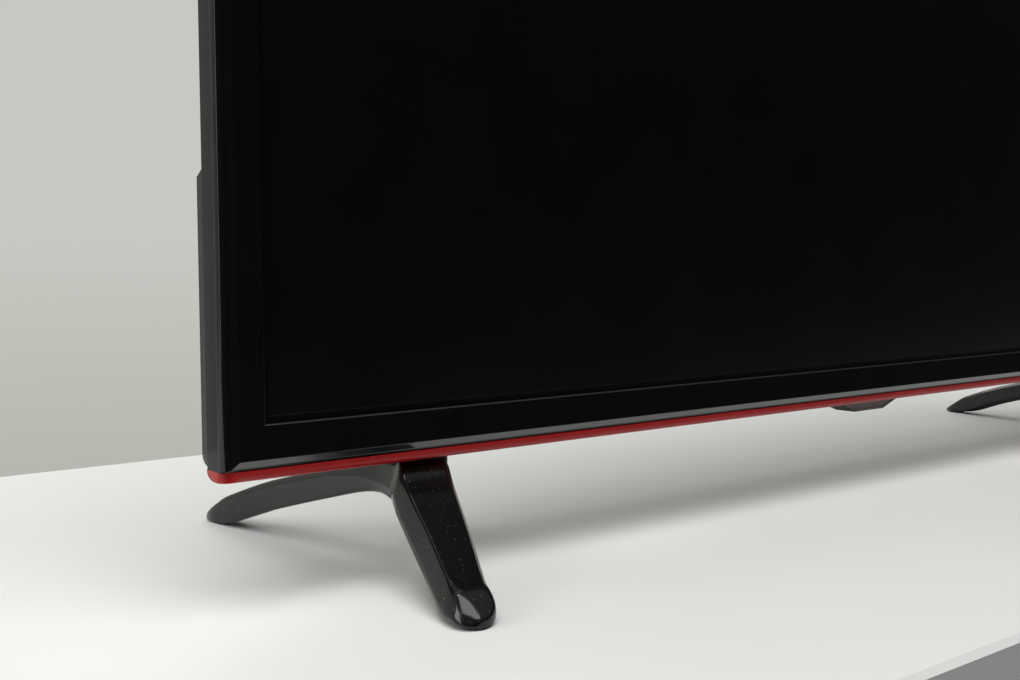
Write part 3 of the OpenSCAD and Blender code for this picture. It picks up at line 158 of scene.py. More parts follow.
def surface(name, colour, *, rough, vary, rough_vary, scale, grain, bump, stretch=(1, 1, 1), metallic=0.0,
            coat=0.0, specular=0.5, dust=0.0, dust_scale=1500, dust_level=0.77, transmission=0.0, cells=0,
            film=0.0):
    """Procedural surface: mottled colour, uneven gloss and a fine grain, pebbled where cells are given."""
    mat = bpy.data.materials.new(name)
    mat.use_nodes = True
    tree = mat.node_tree
    shader = tree.nodes["Principled BSDF"]
    plain_values = {"Metallic": metallic, "Coat Weight": coat, "Coat Roughness": COAT_ROUGH,
                    "Specular IOR Level": specular, "Transmission Weight": transmission}
    for input_name, value in plain_values.items():
        shader.inputs[input_name].default_value = value
    coords = tree.nodes.new("ShaderNodeTexCoord")
    mottle = noise_node(tree, coords, scale, stretch, MOTTLE_DETAIL)
    dark = [c * (1 - vary) for c in colour]
    light = [min(1, c * (1 + vary)) for c in colour]
    tint = ramp_node(tree, mottle, list(zip(TINT_PLACES, (dark, light))))
    if dust > 0:
        # Sparse pale specks that lie on the gloss
        specks = noise_node(tree, coords, dust_scale, (1, 1, 1), SPECK_DETAIL)
        mask = ramp_node(tree, specks, [(dust_level, (0, 0, 0)), (dust_level + SPECK_EDGE, (dust,) * 3)])
        tint = blend_node(tree, mask, tint, SPECK_COLOUR).outputs["Result"]
    if film > 0:
        tint = blend_node(tree, settled_dust(tree, mottle, film), tint, FILM_COLOUR).outputs["Result"]
    tree.links.new(tint, shader.inputs["Base Color"])
    gloss = range_node(tree, mottle, 0.0, 1.0, max(LEAST_ROUGH, rough - rough_vary),
                       min(1, rough + rough_vary))
    tree.links.new(gloss, shader.inputs["Roughness"])
    if cells > 0:
        pebble = tree.nodes.new("ShaderNodeTexVoronoi")
        pebble.feature = "SMOOTH_F1"
        pebble.inputs["Scale"].default_value = cells
        tree.links.new(coords.outputs["Object"], pebble.inputs["Vector"])
        height = pebble.outputs["Distance"]
    else:
        height = noise_node(tree, coords, grain, stretch, GRAIN_DETAIL)
    relief = tree.nodes.new("ShaderNodeBump")
    relief.inputs["Strength"].default_value = bump
    relief.inputs["Distance"].default_value = RELIEF
    tree.links.new(height, relief.inputs["Height"])
    tree.links.new(relief.outputs["Normal"], shader.inputs["Normal"])
    return mat


# Finishes of the outside
gloss_black = surface("piano_black", (0.004, 0.004, 0.0043), rough=0.07, vary=0.1, rough_vary=0.02, scale=40,
                      grain=500, bump=0.003, dust=0.08)
# Bottom bevel: the gloss black made paler and bluer, a painted reflection laid over its real gloss and coat
bevel_painted_reflection = surface("bevel_painted_reflection", (0.016, 0.0175, 0.019), rough=0.14, vary=0.1, rough_vary=0.03, scale=60,
                      grain=700, bump=0.006, specular=1.0, coat=0.3)
# Lower lip: the gloss black made paler, a painted highlight along the picture's lower edge
lip_painted_highlight = surface("lip_painted_highlight", (0.022, 0.021, 0.02), rough=0.3, vary=0.1, rough_vary=0.05, scale=80,
                    grain=900, bump=0.01, specular=0.8)
side_black = surface("side_gloss", (0.006, 0.006, 0.0058), rough=0.09, vary=0.12, rough_vary=0.03, scale=70,
                     grain=700, bump=0.012, stretch=(0.05, 0.05, 3.0), specular=0.15)
foot_black = surface("foot_gloss", (0.004, 0.004, 0.0038), rough=0.13, vary=0.12, rough_vary=0.03, scale=70,
                     grain=420, bump=0.004, dust=0.45, dust_scale=1600, dust_level=0.743, specular=0.4)
foot_under = surface("foot_underside", (0.005, 0.005, 0.005), rough=0.7, vary=0.15, rough_vary=0.06,
                     scale=200, grain=1200, bump=0.05, specular=0.1)
red = surface("trim_red", (0.34, 0.005, 0.0065), rough=0.28, vary=0.08, rough_vary=0.04, scale=120,
              grain=800, bump=0.006, stretch=(0.2, 1, 1), specular=0.4)
glass_border = surface("screen_border", (0.003, 0.003, 0.0033), rough=0.2, vary=0.1, rough_vary=0.03,
                       scale=50, grain=2500, bump=0.004, specular=0.35)
glass_active = surface("screen_active", (0.0026, 0.0026, 0.0028), rough=0.32, vary=0.12, rough_vary=0.04,
                       scale=30, grain=3500, bump=0.008, specular=0.2)
# Sensor body: smoked plastic darkened further, painted shade on its sloping sides
pod_shaded_smoke = surface("sensor_smoke", (0.022, 0.021, 0.02), rough=0.6, vary=0.1, rough_vary=0.05, scale=80,
                grain=900, bump=0.02, specular=0.12)
# Sensor lens: paler grey, painted light on the front of the sensor window
pod_lit_lens = surface("sensor_lens_painted_light", (0.16, 0.155, 0.148), rough=0.4, vary=0.12, rough_vary=0.04, scale=100,
                     grain=600, bump=0.01, specular=0.3)
cover_grain = surface("cover_grain", (0.013, 0.013, 0.0135), rough=0.45, vary=0.2, rough_vary=0.09, scale=25,
                      grain=1500, bump=0.6, cells=750, film=0.16)
mark_white = surface("key_mark", (0.55, 0.55, 0.54), rough=0.5, vary=0.08, rough_vary=0.05, scale=500,
                     grain=2500, bump=0.05)
RING_FINISH = dict(rough=0.4, rough_vary=0.06, scale=300, grain=1500, bump=0.05)
ring_red = surface("jack_ring_red", (0.38, 0.02, 0.02), vary=0.1, **RING_FINISH)
ring_white = surface("jack_ring_white", (0.72, 0.72, 0.7), vary=0.06, **RING_FINISH)
ring_yellow = surface("jack_ring_yellow", (0.62, 0.42, 0.02), vary=0.1, **RING_FINISH)

# Finishes of the solids that are carried over, by the class of their material
BARE_METAL = dict(rough=0.32, vary=0.12, rough_vary=0.08, scale=90, grain=900, bump=0.06, stretch=(1, 1, 6),
                  metallic=1.0)
MATTE_PLASTIC = dict(rough=0.45, vary=0.12, rough_vary=0.07, scale=120, grain=1600, bump=0.12)
CLASS_FINISHES = {
    "brushed_steel": BARE_METAL,
    "aluminium": BARE_METAL,
    "brass": dict(rough=0.25, vary=0.12, rough_vary=0.08, scale=150, grain=900, bump=0.04, metallic=1.0),
    "rubber": dict(rough=0.75, vary=0.2, rough_vary=0.08, scale=200, grain=1800, bump=0.25),
    "painted_metal": dict(rough=0.4, vary=0.15, rough_vary=0.08, scale=200, grain=1500, bump=0.08),
    "cast_iron": dict(rough=0.6, vary=0.2, rough_vary=0.1, scale=200, grain=1200, bump=0.2),
    "gloss_plastic": dict(rough=0.12, vary=0.1, rough_vary=0.04, scale=80, grain=900, bump=0.01),
    "glass": dict(rough=0.08, vary=0.05, rough_vary=0.03, scale=80, grain=900, bump=0.005, transmission=0.6),
}


def slot_material(entry):
    """Finish of a solid that is carried over, from its slot in the record."""
    finish = CLASS_FINISHES.get(entry["class"], MATTE_PLASTIC)
    return surface("solid_" + entry["slot"], entry["base_color"][:3], **finish)


def make(name, points, faces, materials, nodes=(), body=SET, indices=None, crease=32):
    """A mesh piece with smooth faces and sharp edges where it turns by more than the crease angle."""
    mesh = bpy.data.meshes.new(name)
    mesh.from_pydata([tuple(p) for p in points], [], faces)
    for mat in materials:
        mesh.materials.append(mat)
    if indices is not None:
        mesh.polygons.foreach_set("material_index", indices)
    shade(mesh, crease)
    piece = bpy.data.objects.new(name, mesh)
    bpy.context.scene.collection.objects.link(piece)
    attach(piece, body)
    if nodes:
        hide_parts(*nodes)
    return piece


def shade(mesh, crease):
    """Joins doubled points, turns faces outwards and marks the sharp edges."""
    form = bmesh.new()
    form.from_mesh(mesh)
    bmesh.ops.remove_doubles(form, verts=form.verts, dist=TINY)
    bmesh.ops.recalc_face_normals(form, faces=form.faces)
    for face in form.faces:
        face.smooth = True
    for edge in form.edges:
        edge.smooth = len(edge.link_faces) == 2 and edge.calc_face_angle() < math.radians(crease)
    form.to_mesh(mesh)
    form.free()


def soften(piece, width, segments, angle):
    """Rounds the edges of a piece that are sharper than an angle, by a small width in millimetres."""
    edge = piece.modifiers.new("soft_edges", "BEVEL")
    edge.width = width * MM
    edge.segments = segments
    edge.limit_method = "ANGLE"
    edge.angle_limit = math.radians(angle)
    edge.harden_normals = True


def sweep(sections, capped=True):
    """Points and faces of a skin through closed sections of equal count."""
    count = len(sections[0])
    points = [p for section in sections for p in section]
    faces = []
    for i in range(len(sections) - 1):
        for j in range(count):
            k = (j + 1) % count
            faces.append((i * count + j, i * count + k, (i + 1) * count + k, (i + 1) * count + j))
    if capped:
        faces.append(tuple(reversed(range(count))))
        faces.append(tuple(range((len(sections) - 1) * count, len(sections) * count)))
    return points, faces


# Front frame: four bars with one section each, mitred at the corners
LIP_FACES = 3
BEVEL_FACE = LIP_FACES + 1
EDGE_STEPS = 12
REAR_EDGE_D = 0.35
REAR_EDGE_W = 0.3
FRAME_CREASE = 20
ON_GLOSS, ON_SIDE, ON_LIP_HIGHLIGHT, ON_BEVEL_REFLECTION = range(4)


def bar_section(flat, r):
    """(outwards from the picture, back from the front) of a bar, and where its side wall starts."""
    section = [(0, LIP_T), (0, LIP_EDGE), (LIP_EDGE * 0.35, LIP_EDGE * 0.3), (LIP_EDGE, 0), (flat, 0)]
    for i in range(EDGE_STEPS + 1):
        a = QUARTER * (i / EDGE_STEPS - 1)
        section.append((flat + BEVEL_W + r * math.cos(a), BEVEL_D + r + r * math.sin(a)))
    wall = len(section) - 1
    out = flat + BEVEL_W + r
    section += [(out, FRAME_DEPTH - REAR_EDGE_D), (out - REAR_EDGE_W, FRAME_DEPTH),
                (out - FRAME_WALL, FRAME_DEPTH), (out - FRAME_WALL, LIP_T)]
    return section, wall


def between(value, table):
    """Straight interpolation in a table of (from, to) pairs."""
    for (a, b), (c, d) in zip(table, table[1:]):
        if value <= c:
            return b + (d - b) * (value - a) / (c - a)
    return table[-1][1]


side_to_bottom = [(0, 0), (SIDE_FLAT, BOTTOM_FLAT), (SIDE_FLAT + BEVEL_W, BOTTOM_FLAT + BEVEL_W),
                  (SIDE_BORDER, BOTTOM_BORDER)]
bottom_to_side = [(b, a) for a, b in side_to_bottom]
side_section, side_wall = bar_section(SIDE_FLAT, SIDE_EDGE_R)
bottom_section, bottom_wall = bar_section(BOTTOM_FLAT, BOTTOM_EDGE_R)


def frame_bars():
    """All four bars as one skin, with the finish of each face."""
    points, faces, indices = [], [], []

    def add(start, end, wall, is_bottom=False):
        skin_points, skin_faces = sweep([start, end], capped=False)
        base = len(points)
        points.extend(skin_points)
        for j, face in enumerate(skin_faces):
            faces.append(tuple(base + v for v in face))
            # The bottom bar's lip faces carry the painted highlight
            if is_bottom and j < LIP_FACES:
                indices.append(ON_LIP_HIGHLIGHT)
            # The bottom bar's bevel carries the painted reflection
            elif is_bottom and j == BEVEL_FACE:
                indices.append(ON_BEVEL_REFLECTION)
            elif wall <= j <= wall + 1:
                indices.append(ON_SIDE)
            else:
                indices.append(ON_GLOSS)

    for s in (-1, 1):
        add([in_set(s * (HALF_W + u), v, -between(u, side_to_bottom)) for u, v in side_section],
            [in_set(s * (HALF_W + u), v, PICTURE_H + u) for u, v in side_section], side_wall)
    add([in_set(-HALF_W - between(u, bottom_to_side), v, -u) for u, v in bottom_section],
        [in_set(HALF_W + between(u, bottom_to_side), v, -u) for u, v in bottom_section],
        bottom_wall, is_bottom=True)
    add([in_set(-HALF_W - u, v, PICTURE_H + u) for u, v in side_section],
        [in_set(HALF_W + u, v, PICTURE_H + u) for u, v in side_section], side_wall)
    return points, faces, indices


bar_points, bar_faces, bar_indices = frame_bars()
front_frame = make("front_frame", bar_points, bar_faces, [gloss_black, side_black, lip_painted_highlight, bevel_painted_reflection],
                   ["front_bezel"], indices=bar_indices, crease=FRAME_CREASE)
soften(front_frame, width=0.12, segments=2, angle=FRAME_CREASE)

# Screen: a dark border and the picture area a hair behind it
CELL_Y = LIP_T + 0.5
CELL_T = 1.4
CELL_MARGIN = 5.0
ACTIVE_INSET = 2.4
ACTIVE_STEP = 0.06


def rectangle(margin, y):
    """Four corners round the picture, at a margin outside it."""
    out = HALF_W + margin
    top = PICTURE_H + margin
    return [in_set(x, y, z) for x, z in ((-out, -margin), (out, -margin), (out, top), (-out, top))]


screen_points, screen_faces = sweep([
    rectangle(CELL_MARGIN, CELL_Y + CELL_T),
    rectangle(CELL_MARGIN, CELL_Y),
    rectangle(-ACTIVE_INSET, CELL_Y),
    rectangle(-ACTIVE_INSET - ACTIVE_STEP, CELL_Y + ACTIVE_STEP),
])
screen_indices = [0] * (len(screen_faces) - 1) + [1]
make("screen", screen_points, screen_faces, [glass_border, glass_active], ["lcd_panel"],
     indices=screen_indices)

# Red bar under the frame: its corners follow the frame, and its lower rear edge is curved
TRIM_H = (FRAME_BOTTOM - TRIM_BOTTOM) / MM
TRIM_SET = (trim_low.y - FRONT_Y) / MM
TRIM_EDGE = 1.9
TRIM_EDGE_D = 1.2
TRIM_TURN_D = 5.6
TRIM_TURN_H = 3.1
TRIM_EDGE_STEPS = 8
TRIM_CORNER_STEPS = 10
TRIM_TURN_STEPS = 12
TRIM_CREASE = 28
CORNER_X = FRAME_X / MM - SIDE_EDGE_R
CORNER_Y = TRIM_SET + BEVEL_D + SIDE_EDGE_R


def trim_half_w(y):
    """Half the bar's length at depth y."""
    if y <= TRIM_SET + BEVEL_D:
        return CORNER_X - BEVEL_W * (1 - (y - TRIM_SET) / BEVEL_D)
    if y < CORNER_Y:
        return CORNER_X + math.sqrt(SIDE_EDGE_R ** 2 - (CORNER_Y - y) ** 2)
    return FRAME_X / MM


def trim_row(y):
    """Section across the bar at depth y: upper and lower corners at both ends."""
    low = -BOTTOM_BORDER - TRIM_H
    edge = max(0, 1 - (y - TRIM_SET) / TRIM_EDGE_D)
    low += TRIM_EDGE * (1 - math.sqrt(1 - edge ** 2))
    turn = max(0, (y - FRAME_DEPTH) / TRIM_TURN_D + 1)
    low += TRIM_TURN_H * (1 - math.sqrt(1 - turn ** 2))
    w = trim_half_w(y)
    return [in_set(x, y, z) for x, z in ((-w, -BOTTOM_BORDER), (-w, low), (w, low), (w, -BOTTOM_BORDER))]


trim_depths = [TRIM_SET + TRIM_EDGE_D * (1 - math.cos(QUARTER * i / TRIM_EDGE_STEPS))
               for i in range(TRIM_EDGE_STEPS + 1)]
trim_depths += [CORNER_Y - SIDE_EDGE_R * math.cos(QUARTER * i / TRIM_CORNER_STEPS)
                for i in range(1, TRIM_CORNER_STEPS + 1)]
trim_depths += [FRAME_DEPTH - TRIM_TURN_D * (1 - math.sin(QUARTER * i / TRIM_TURN_STEPS))
                for i in range(TRIM_TURN_STEPS + 1)]
trim_points, trim_faces = sweep([trim_row(y) for y in trim_depths])
red_bar = make("red_bar", trim_points, trim_faces, [red], ["bottom_trim"], crease=TRIM_CREASE)
soften(red_bar, width=0.2, segments=3, angle=TRIM_CREASE)

# Feet: a skin through stations, with soft creases between its facets
# Place from front tip to rear tip, shares of the splay, the top and the underside, width in millimetres
STATIONS = [
    (-1.00, 0.985, 0.125, 0.00, 17.0),
    (-0.90, 0.93, 0.232, 0.00, 17.0),
    (-0.81, 0.855, 0.29, 0.00, 18.2),
    (-0.57, 0.545, 0.53, 0.215, 21.0),
    (-0.31, 0.245, 0.80, 0.485, 24.2),
    (-0.215, 0.135, 0.96, 0.575, 24.2),
    (-0.14, 0.05, 0.972, 0.63, 24.0),
    (0.04, 0.045, 0.965, 0.65, 21.3),
    (0.28, 0.22, 0.765, 0.49, 17.2),
    (0.60, 0.53, 0.53, 0.235, 14.0),
    (0.83, 0.85, 0.305, 0.02, 11.5),
    (1.00, 1.07, 0.13, 0.00, 9.6),
]
PLACE, SPLAY, TOP, UNDERSIDE, WIDTH = range(5)
FOOT_X = 281.0
FRONT_REACH = 81.0
REAR_REACH = 127.0
FRONT_SPLAY = 23.5
REAR_SPLAY = 19.0
PAD_PROUD = 0.6
TABLE_Z = -PICTURE_Z
COVER_FOOT = TRIM_BOTTOM / MM - PICTURE_Z
RISE = COVER_FOOT - TABLE_Z - PAD_PROUD
FOOT_CREASE = 38

# Neck between a foot and the set, and the two screw wells under it
NECK_Y = 24.0
NECK_HALF_W = 9.6
NECK_HALF_L = 17.0
NECK_R = 1.5
NECK_DEPTH = 9.0
NECK_EDGE = 0.4
NECK_CORNER_STEPS = 6
SCREW_PLACES = (-4.5, 11.0)
SCREW_SEAT_D = 6.0
WELL_R = 4.2
WELL_STEP = 10
WELL_CREASE = 30

# Facets of a foot, each held to a share of the section where that is small
OUTER_FACET_W = 3.2
OUTER_FACET_W_SHARE = 0.6
OUTER_FACET_H = 10.0
OUTER_FACET_SHARE = 0.66
INNER_FACET = 2.2
INNER_FACET_H_SHARE = 0.25
LOWER_FACET = 1.8
LOWER_FACET_H_SHARE = 0.2
SMALL_FACET_W_SHARE = 0.3
REAR_FACET_SHARE = 0.3
FACET_FADE = 2.5
INNER_LIFT_H = 1.7
INNER_LIFT_PLACES = (-0.05, 0.95)
INNER_LIFT_RUN = 0.14

# Tips of a foot
TIP_R = 8.0
REAR_TIP_R = 12.0
FRONT_TIP_L = 13.0
FRONT_TIP_H = 0.4
REAR_TIP_L = 22.0
REAR_TIP_H = 0.1
REAR_TIP_POWER = 1.4
LEAST_TIP = 0.03

# Creases between the facets, wider at the tips
CORNERS = 8
UNDER_CORNER = 6
CREASE_POINTS = 5
CREASE_REACH = 0.45
CREASE_R = 0.9
TIP_CREASE_R = 5.0
TIP_CREASE_L = 16.0

# Rings along a foot: even ones, and closer ones in place of the last few at each tip
FOOT_STEPS = 110
TIP_SPAN = 0.55
TIP_STEPS = 14
TIP_CUT = 6


def station(i):
    """Values at a station, with the end ones repeated past the tips."""
    return STATIONS[max(0, min(len(STATIONS) - 1, i))]


def spline(a, b, c, d, t):
    """Smooth curve from b to c."""
    return 0.5 * (2 * b + (c - a) * t + (2 * a - 5 * b + 4 * c - d) * t ** 2
                  + (3 * b - a - 3 * c + d) * t ** 3)


def column(k, u):
    """One of the stations' values at a place u, counted in stations."""
    i = min(int(u), len(STATIONS) - 2)
    return spline(station(i - 1)[k], station(i)[k], station(i + 1)[k], station(i + 2)[k], u - i)


def round_in(d, length):
    """Quarter circle from 0 at a tip to 1 at the end of its length."""
    return 1 if d >= length else math.sqrt(1 - (1 - max(0, d) / length) ** 2)


def inner_lift(place):
    """How far the inner lower edge of the rear leg stands above the outer one."""
    start = max(0, place - INNER_LIFT_PLACES[0]) / INNER_LIFT_RUN
    stop = max(0, INNER_LIFT_PLACES[1] - place) / INNER_LIFT_RUN
    return INNER_LIFT_H * min(1, start) * min(1, stop)


def foot_corners(u):
    """Eight corners of a foot's section, and how round they are."""
    place = column(PLACE, u)
    front = place < 0
    x = FOOT_X + max(0, column(SPLAY, u)) * (FRONT_SPLAY if front else REAR_SPLAY)
    y = NECK_Y + place * (FRONT_REACH if front else REAR_REACH)
    end = max(0, min(y - NECK_Y + FRONT_REACH, NECK_Y + REAR_REACH - y))
    half = column(WIDTH, u) / 2 * max(LEAST_TIP, round_in(end, TIP_R if front else REAR_TIP_R))
    low = TABLE_Z + PAD_PROUD + max(0, column(UNDERSIDE, u)) * RISE
    least = FRONT_TIP_H if front else REAR_TIP_H
    slope = round_in(end, FRONT_TIP_L) if front else round_in(end, REAR_TIP_L) ** REAR_TIP_POWER
    height = (TABLE_Z + PAD_PROUD + column(TOP, u) * RISE - low) * (least + (1 - least) * slope)
    top = low + height
    lift = inner_lift(place)
    fade = max(REAR_FACET_SHARE, 1 - FACET_FADE * max(0, place))
    wide = min(OUTER_FACET_W, half * OUTER_FACET_W_SHARE) * fade
    tall = min(OUTER_FACET_H, height * OUTER_FACET_SHARE) * fade
    thin = min(INNER_FACET, half * SMALL_FACET_W_SHARE, height * INNER_FACET_H_SHARE)
    under = min(LOWER_FACET, half * SMALL_FACET_W_SHARE, height * LOWER_FACET_H_SHARE) * fade
    radius = CREASE_R + TIP_CREASE_R * max(0, 1 - end / TIP_CREASE_L)
    return [(x + half, y, low + under), (x + half, y, top - tall), (x + half - wide, y, top),
            (x - half + thin, y, top), (x - half, y, top - thin), (x - half, y, low + under + lift),
            (x - half + under, y, low + lift), (x + half - under, y, low)], radius


def foot_ring(u):
    """A foot's section, each corner a short curve."""
    corners, radius = foot_corners(u)
    ring = []
    for i, corner in enumerate(corners):
        here = Vector(corner)
        before = Vector(corners[i - 1]) - here
        after = Vector(corners[(i + 1) % CORNERS]) - here
        a = here + before * min(CREASE_REACH, radius / max(TINY, before.length))
        b = here + after * min(CREASE_REACH, radius / max(TINY, after.length))
        for k in range(CREASE_POINTS):
            t = k / (CREASE_POINTS - 1)
            ring.append((1 - t) ** 2 * a + 2 * t * (1 - t) * here + t ** 2 * b)
    return ring


def foot_places():
    """Places along a foot, close together where a tip curves in."""
    last = len(STATIONS) - 1
    even = [last * i / FOOT_STEPS for i in range(FOOT_STEPS + 1)]
    tips = [TIP_SPAN * (i / TIP_STEPS) ** 2 for i in range(TIP_STEPS + 1)]
    return sorted(set(round(u, 5) for u in even[TIP_CUT:-TIP_CUT] + tips + [last - t for t in tips]))


def neck_ring(z, grow):
    """Rounded outline of a foot's neck at height z."""
    half_w, half_l, r = NECK_HALF_W + grow, NECK_HALF_L + grow, NECK_R + grow
    ring = []
    for cx, cy, start in ((half_w - r, half_l - r, 0), (r - half_w, half_l - r, 90),
                          (r - half_w, r - half_l, 180), (half_w - r, r - half_l, 270)):
        for i in range(NECK_CORNER_STEPS + 1):
            a = math.radians(start + 90 * i / NECK_CORNER_STEPS)
            ring.append((FOOT_X + cx + r * math.cos(a), NECK_Y + cy + r * math.sin(a), z))
    return ring


def carve(piece, x, y, top, r):
    """Cuts a round screw well up into a piece from below."""
    angles = [math.radians(a) for a in range(0, 360, WELL_STEP)]
    ring = [(x + r * math.cos(a), y + r * math.sin(a)) for a in angles]
    points, faces = sweep([[in_set(px, py, z) for px, py in ring] for z in (TABLE_Z, top)])
    mesh = bpy.data.meshes.new("well")
    mesh.from_pydata([tuple(p) for p in points], [], faces)
    shade(mesh, WELL_CREASE)
    cutter = bpy.data.objects.new("well", mesh)
    bpy.context.scene.collection.objects.link(cutter)
    cut = piece.modifiers.new("well", "BOOLEAN")
    cut.operation = "DIFFERENCE"
    cut.object = cutter
    cut.solver = "EXACT"
    bpy.context.view_layer.update()
    done = bpy.data.meshes.new_from_object(piece.evaluated_get(bpy.context.evaluated_depsgraph_get()))
    piece.modifiers.remove(cut)
    old = piece.data
    piece.data = done
    bpy.data.meshes.remove(old)
    bpy.data.objects.remove(cutter)
    shade(piece.data, FOOT_CREASE)


def make_foot(side, name, node):
    """One foot: the arched skin with its screw wells, and its neck."""
    rings = [[in_set(side * p[0], p[1], p[2]) for p in foot_ring(u)] for u in foot_places()]
    points, faces = sweep(rings)
    under = range(UNDER_CORNER * CREASE_POINTS - 1, (UNDER_CORNER + 1) * CREASE_POINTS)
    indices = [1 if j % (CORNERS * CREASE_POINTS) in under else 0 for j in range(len(faces) - 2)] + [0, 0]
    foot = make(name, points, faces, [foot_black, foot_under], [node], indices=indices,
                crease=FOOT_CREASE)
    for place in SCREW_PLACES:
        carve(foot, side * FOOT_X, NECK_Y + place, COVER_FOOT - SCREW_SEAT_D, WELL_R)
    levels = [(COVER_FOOT - NECK_DEPTH, 0.0), (COVER_FOOT - NECK_EDGE, 0.0), (COVER_FOOT, -NECK_EDGE)]
    neck_points, neck_faces = sweep([[in_set(side * p[0], p[1], p[2]) for p in neck_ring(*level)]
                                     for level in levels])
    make(name + "_neck", neck_points, neck_faces, [foot_black], crease=FOOT_CREASE)


make_foot(-1, "foot_skin_left", "foot_left")
make_foot(1, "foot_skin_right", "foot_right")

# Sensor window: a smoked wedge whose sides are darkened with painted shade and whose lens in front is paled
# with painted light, through steps back from its face and inwards
POD_TOP_W = 61.0
POD_BOTTOM_W = 24.5
POD_H = 6.5
POD_D = 12.0
POD_Y = FRAME_DEPTH + 0.3
POD_SLANT = 1.6
POD_STEPS = ((POD_D, 0.0), (0.5, 0.0), (0.0, 0.4), (0.0, 1.2), (0.25, 1.4))
POD_CREASE = 25


def pod_ring(y, inset):
    """Outline of the wedge, standing in by a margin."""
    wide = POD_TOP_W / 2 - POD_SLANT * inset
    narrow = POD_BOTTOM_W / 2 - inset
    low = COVER_FOOT - POD_H + inset
    outline = ((-wide, COVER_FOOT), (-narrow, low), (narrow, low), (wide, COVER_FOOT))
    return [in_set(x, y, z) for x, z in outline]


pod_points, pod_faces = sweep([pod_ring(POD_Y + back, inset) for back, inset in POD_STEPS])
# The front steps and face take the lens's painted light, the rest the body's painted shade
pod_indices = [0] * 8 + [1] * 8 + [0, 1]
pod = make("sensor_pod", pod_points, pod_faces, [pod_shaded_smoke, pod_lit_lens], ["ir_window"],
           indices=pod_indices, crease=POD_CREASE)
soften(pod, width=0.25, segments=3, angle=POD_CREASE)

# Raised marks on the keys, in millimetres from the middle of each key
KEY_MARK_T = 0.12
KEY_MARK_SINK = 0.02
THIN = 0.4
MEDIUM = 0.45
THICK = 0.5


def key_centre(node):
    """Middle of a key's outer face."""
    low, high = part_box(node)
    return Vector(((low.x + high.x) / 2, high.y, (low.z + high.z) / 2))


def flat_mark(name, node, outlines):
    """Thin raised outlines on a key."""
    middle = key_centre(node)
    points, faces = [], []
    for outline in outlines:
        low = [middle + Vector((x * MM, -KEY_MARK_SINK * MM, z * MM)) for x, z in outline]
        high = [p + Vector((0, KEY_MARK_T * MM, 0)) for p in low]
        skin_points, skin_faces = sweep([low, high])
        base = len(points)
        points.extend(skin_points)
        faces.extend(tuple(base + v for v in face) for face in skin_faces)
    make(name, points, faces, [mark_white], body=node)


def stroke(start, end, w):
    """Outline of a straight stroke."""
    a, b = Vector(start), Vector(end)
    along = (b - a).normalized() * w / 2
    side = Vector((-along.y, along.x))
    return [tuple(p) for p in (a - along + side, a - along - side, b + along - side, b + along + side)]


def arc_strokes(r, start, stop, w, steps):
    """Outlines that follow an arc."""
    spots = [math.radians(start + (stop - start) * i / steps) for i in range(steps + 1)]
    return [stroke((r * math.cos(a), r * math.sin(a)), (r * math.cos(b), r * math.sin(b)), w)
            for a, b in zip(spots, spots[1:])]


source_lines = [((-2.2, -1.5), (2.2, -1.5)), ((-2.2, 1.5), (2.2, 1.5)), ((-2.2, -1.5), (-2.2, 1.5)),
                ((2.2, -1.5), (2.2, -0.6)), ((2.2, 0.6), (2.2, 1.5)), ((-0.6, 0), (2.8, 0))]
plus_lines = [((-1.8, 0), (1.8, 0)), ((0, 0.25), (0, 1.8)), ((0, -1.8), (0, -0.25))]
KEY_MARKS = {
    "power": arc_strokes(1.7, 125, 415, THIN, 12) + [stroke((0, 0.7), (0, 2.0), THIN)],
    "source": [stroke(a, b, THIN) for a, b in source_lines],
    "menu": [stroke((-2, z), (2, z), MEDIUM) for z in (-1.2, 0, 1.2)],
    "channel_up": [[(-1.9, -1.1), (1.9, -1.1), (0, 1.5)]],
    "channel_down": [[(-1.9, 1.1), (0, -1.5), (1.9, 1.1)]],
    "volume_up": [stroke(a, b, THICK) for a, b in plus_lines],
    "volume_down": [stroke((-1.8, 0), (1.8, 0), THICK)],
}
for key, key_outlines in KEY_MARKS.items():
    flat_mark("mark_" + key, key + "_key", key_outlines)

# Coloured rings in the mouths of the round jacks
JACK_RINGS = (
    ("jack_ring_right", -128.0, ring_red),
    ("jack_ring_left", -140.0, ring_white),
    ("jack_ring_video", -152.0, ring_yellow),
)
JACK_Y = 41.3
JACK_END = 48.5
RING_IN_R = 2.0
RING_OUT_R = 3.75
RING_SINK = 0.1
RING_DROP = 0.35
RING_EDGE = 0.25
RING_CROWN = 0.2
RING_TURNS = 40


def jack_ring(name, x, mat):
    """Flat ring round a jack's bore, with rounded edges."""
    face = -RING_DROP - RING_CROWN
    profile = [(RING_IN_R, RING_SINK), (RING_IN_R, -RING_DROP), (RING_IN_R + RING_EDGE, face),
               (RING_OUT_R - RING_EDGE, face), (RING_OUT_R, -RING_DROP), (RING_OUT_R, RING_SINK)]
    rings = []
    for i in range(RING_TURNS):
        a = 2 * math.pi * i / RING_TURNS
        rings.append([in_set(x + r * math.cos(a), JACK_Y + r * math.sin(a), JACK_END + z)
                      for r, z in profile])
    rings.append(rings[0])
    points, faces = sweep(rings, capped=False)
    make(name, points, faces, [mat], crease=40)


for jack in JACK_RINGS:
    jack_ring(*jack)

# Finishes of the solids that stay as they are
slots = {entry["slot"]: entry for entry in frame["record"]["materials"]}
finishes = {"cover_black": cover_grain}
for part in frame["record"]["subparts"]:
    solid = frame["nodes"][part["node"]]
    slot = part["material_slot"]
    if slot not in finishes:
        finishes[slot] = slot_material(slots[slot])
    solid.data.materials.clear()
    solid.data.materials.append(finishes[slot])


def soften_solid(node, width, segments):
    """Rounds the edges of a solid that is carried over."""
    carried = frame["nodes"][node]
    join = carried.modifiers.new("join", "WELD")
    join.merge_threshold = TINY
    soften(carried, width, segments, angle=28)


soften_solid("rear_cover", width=0.5, segments=2)
for key in KEY_MARKS:
    soften_solid(key + "_key", width=0.35, segments=3)

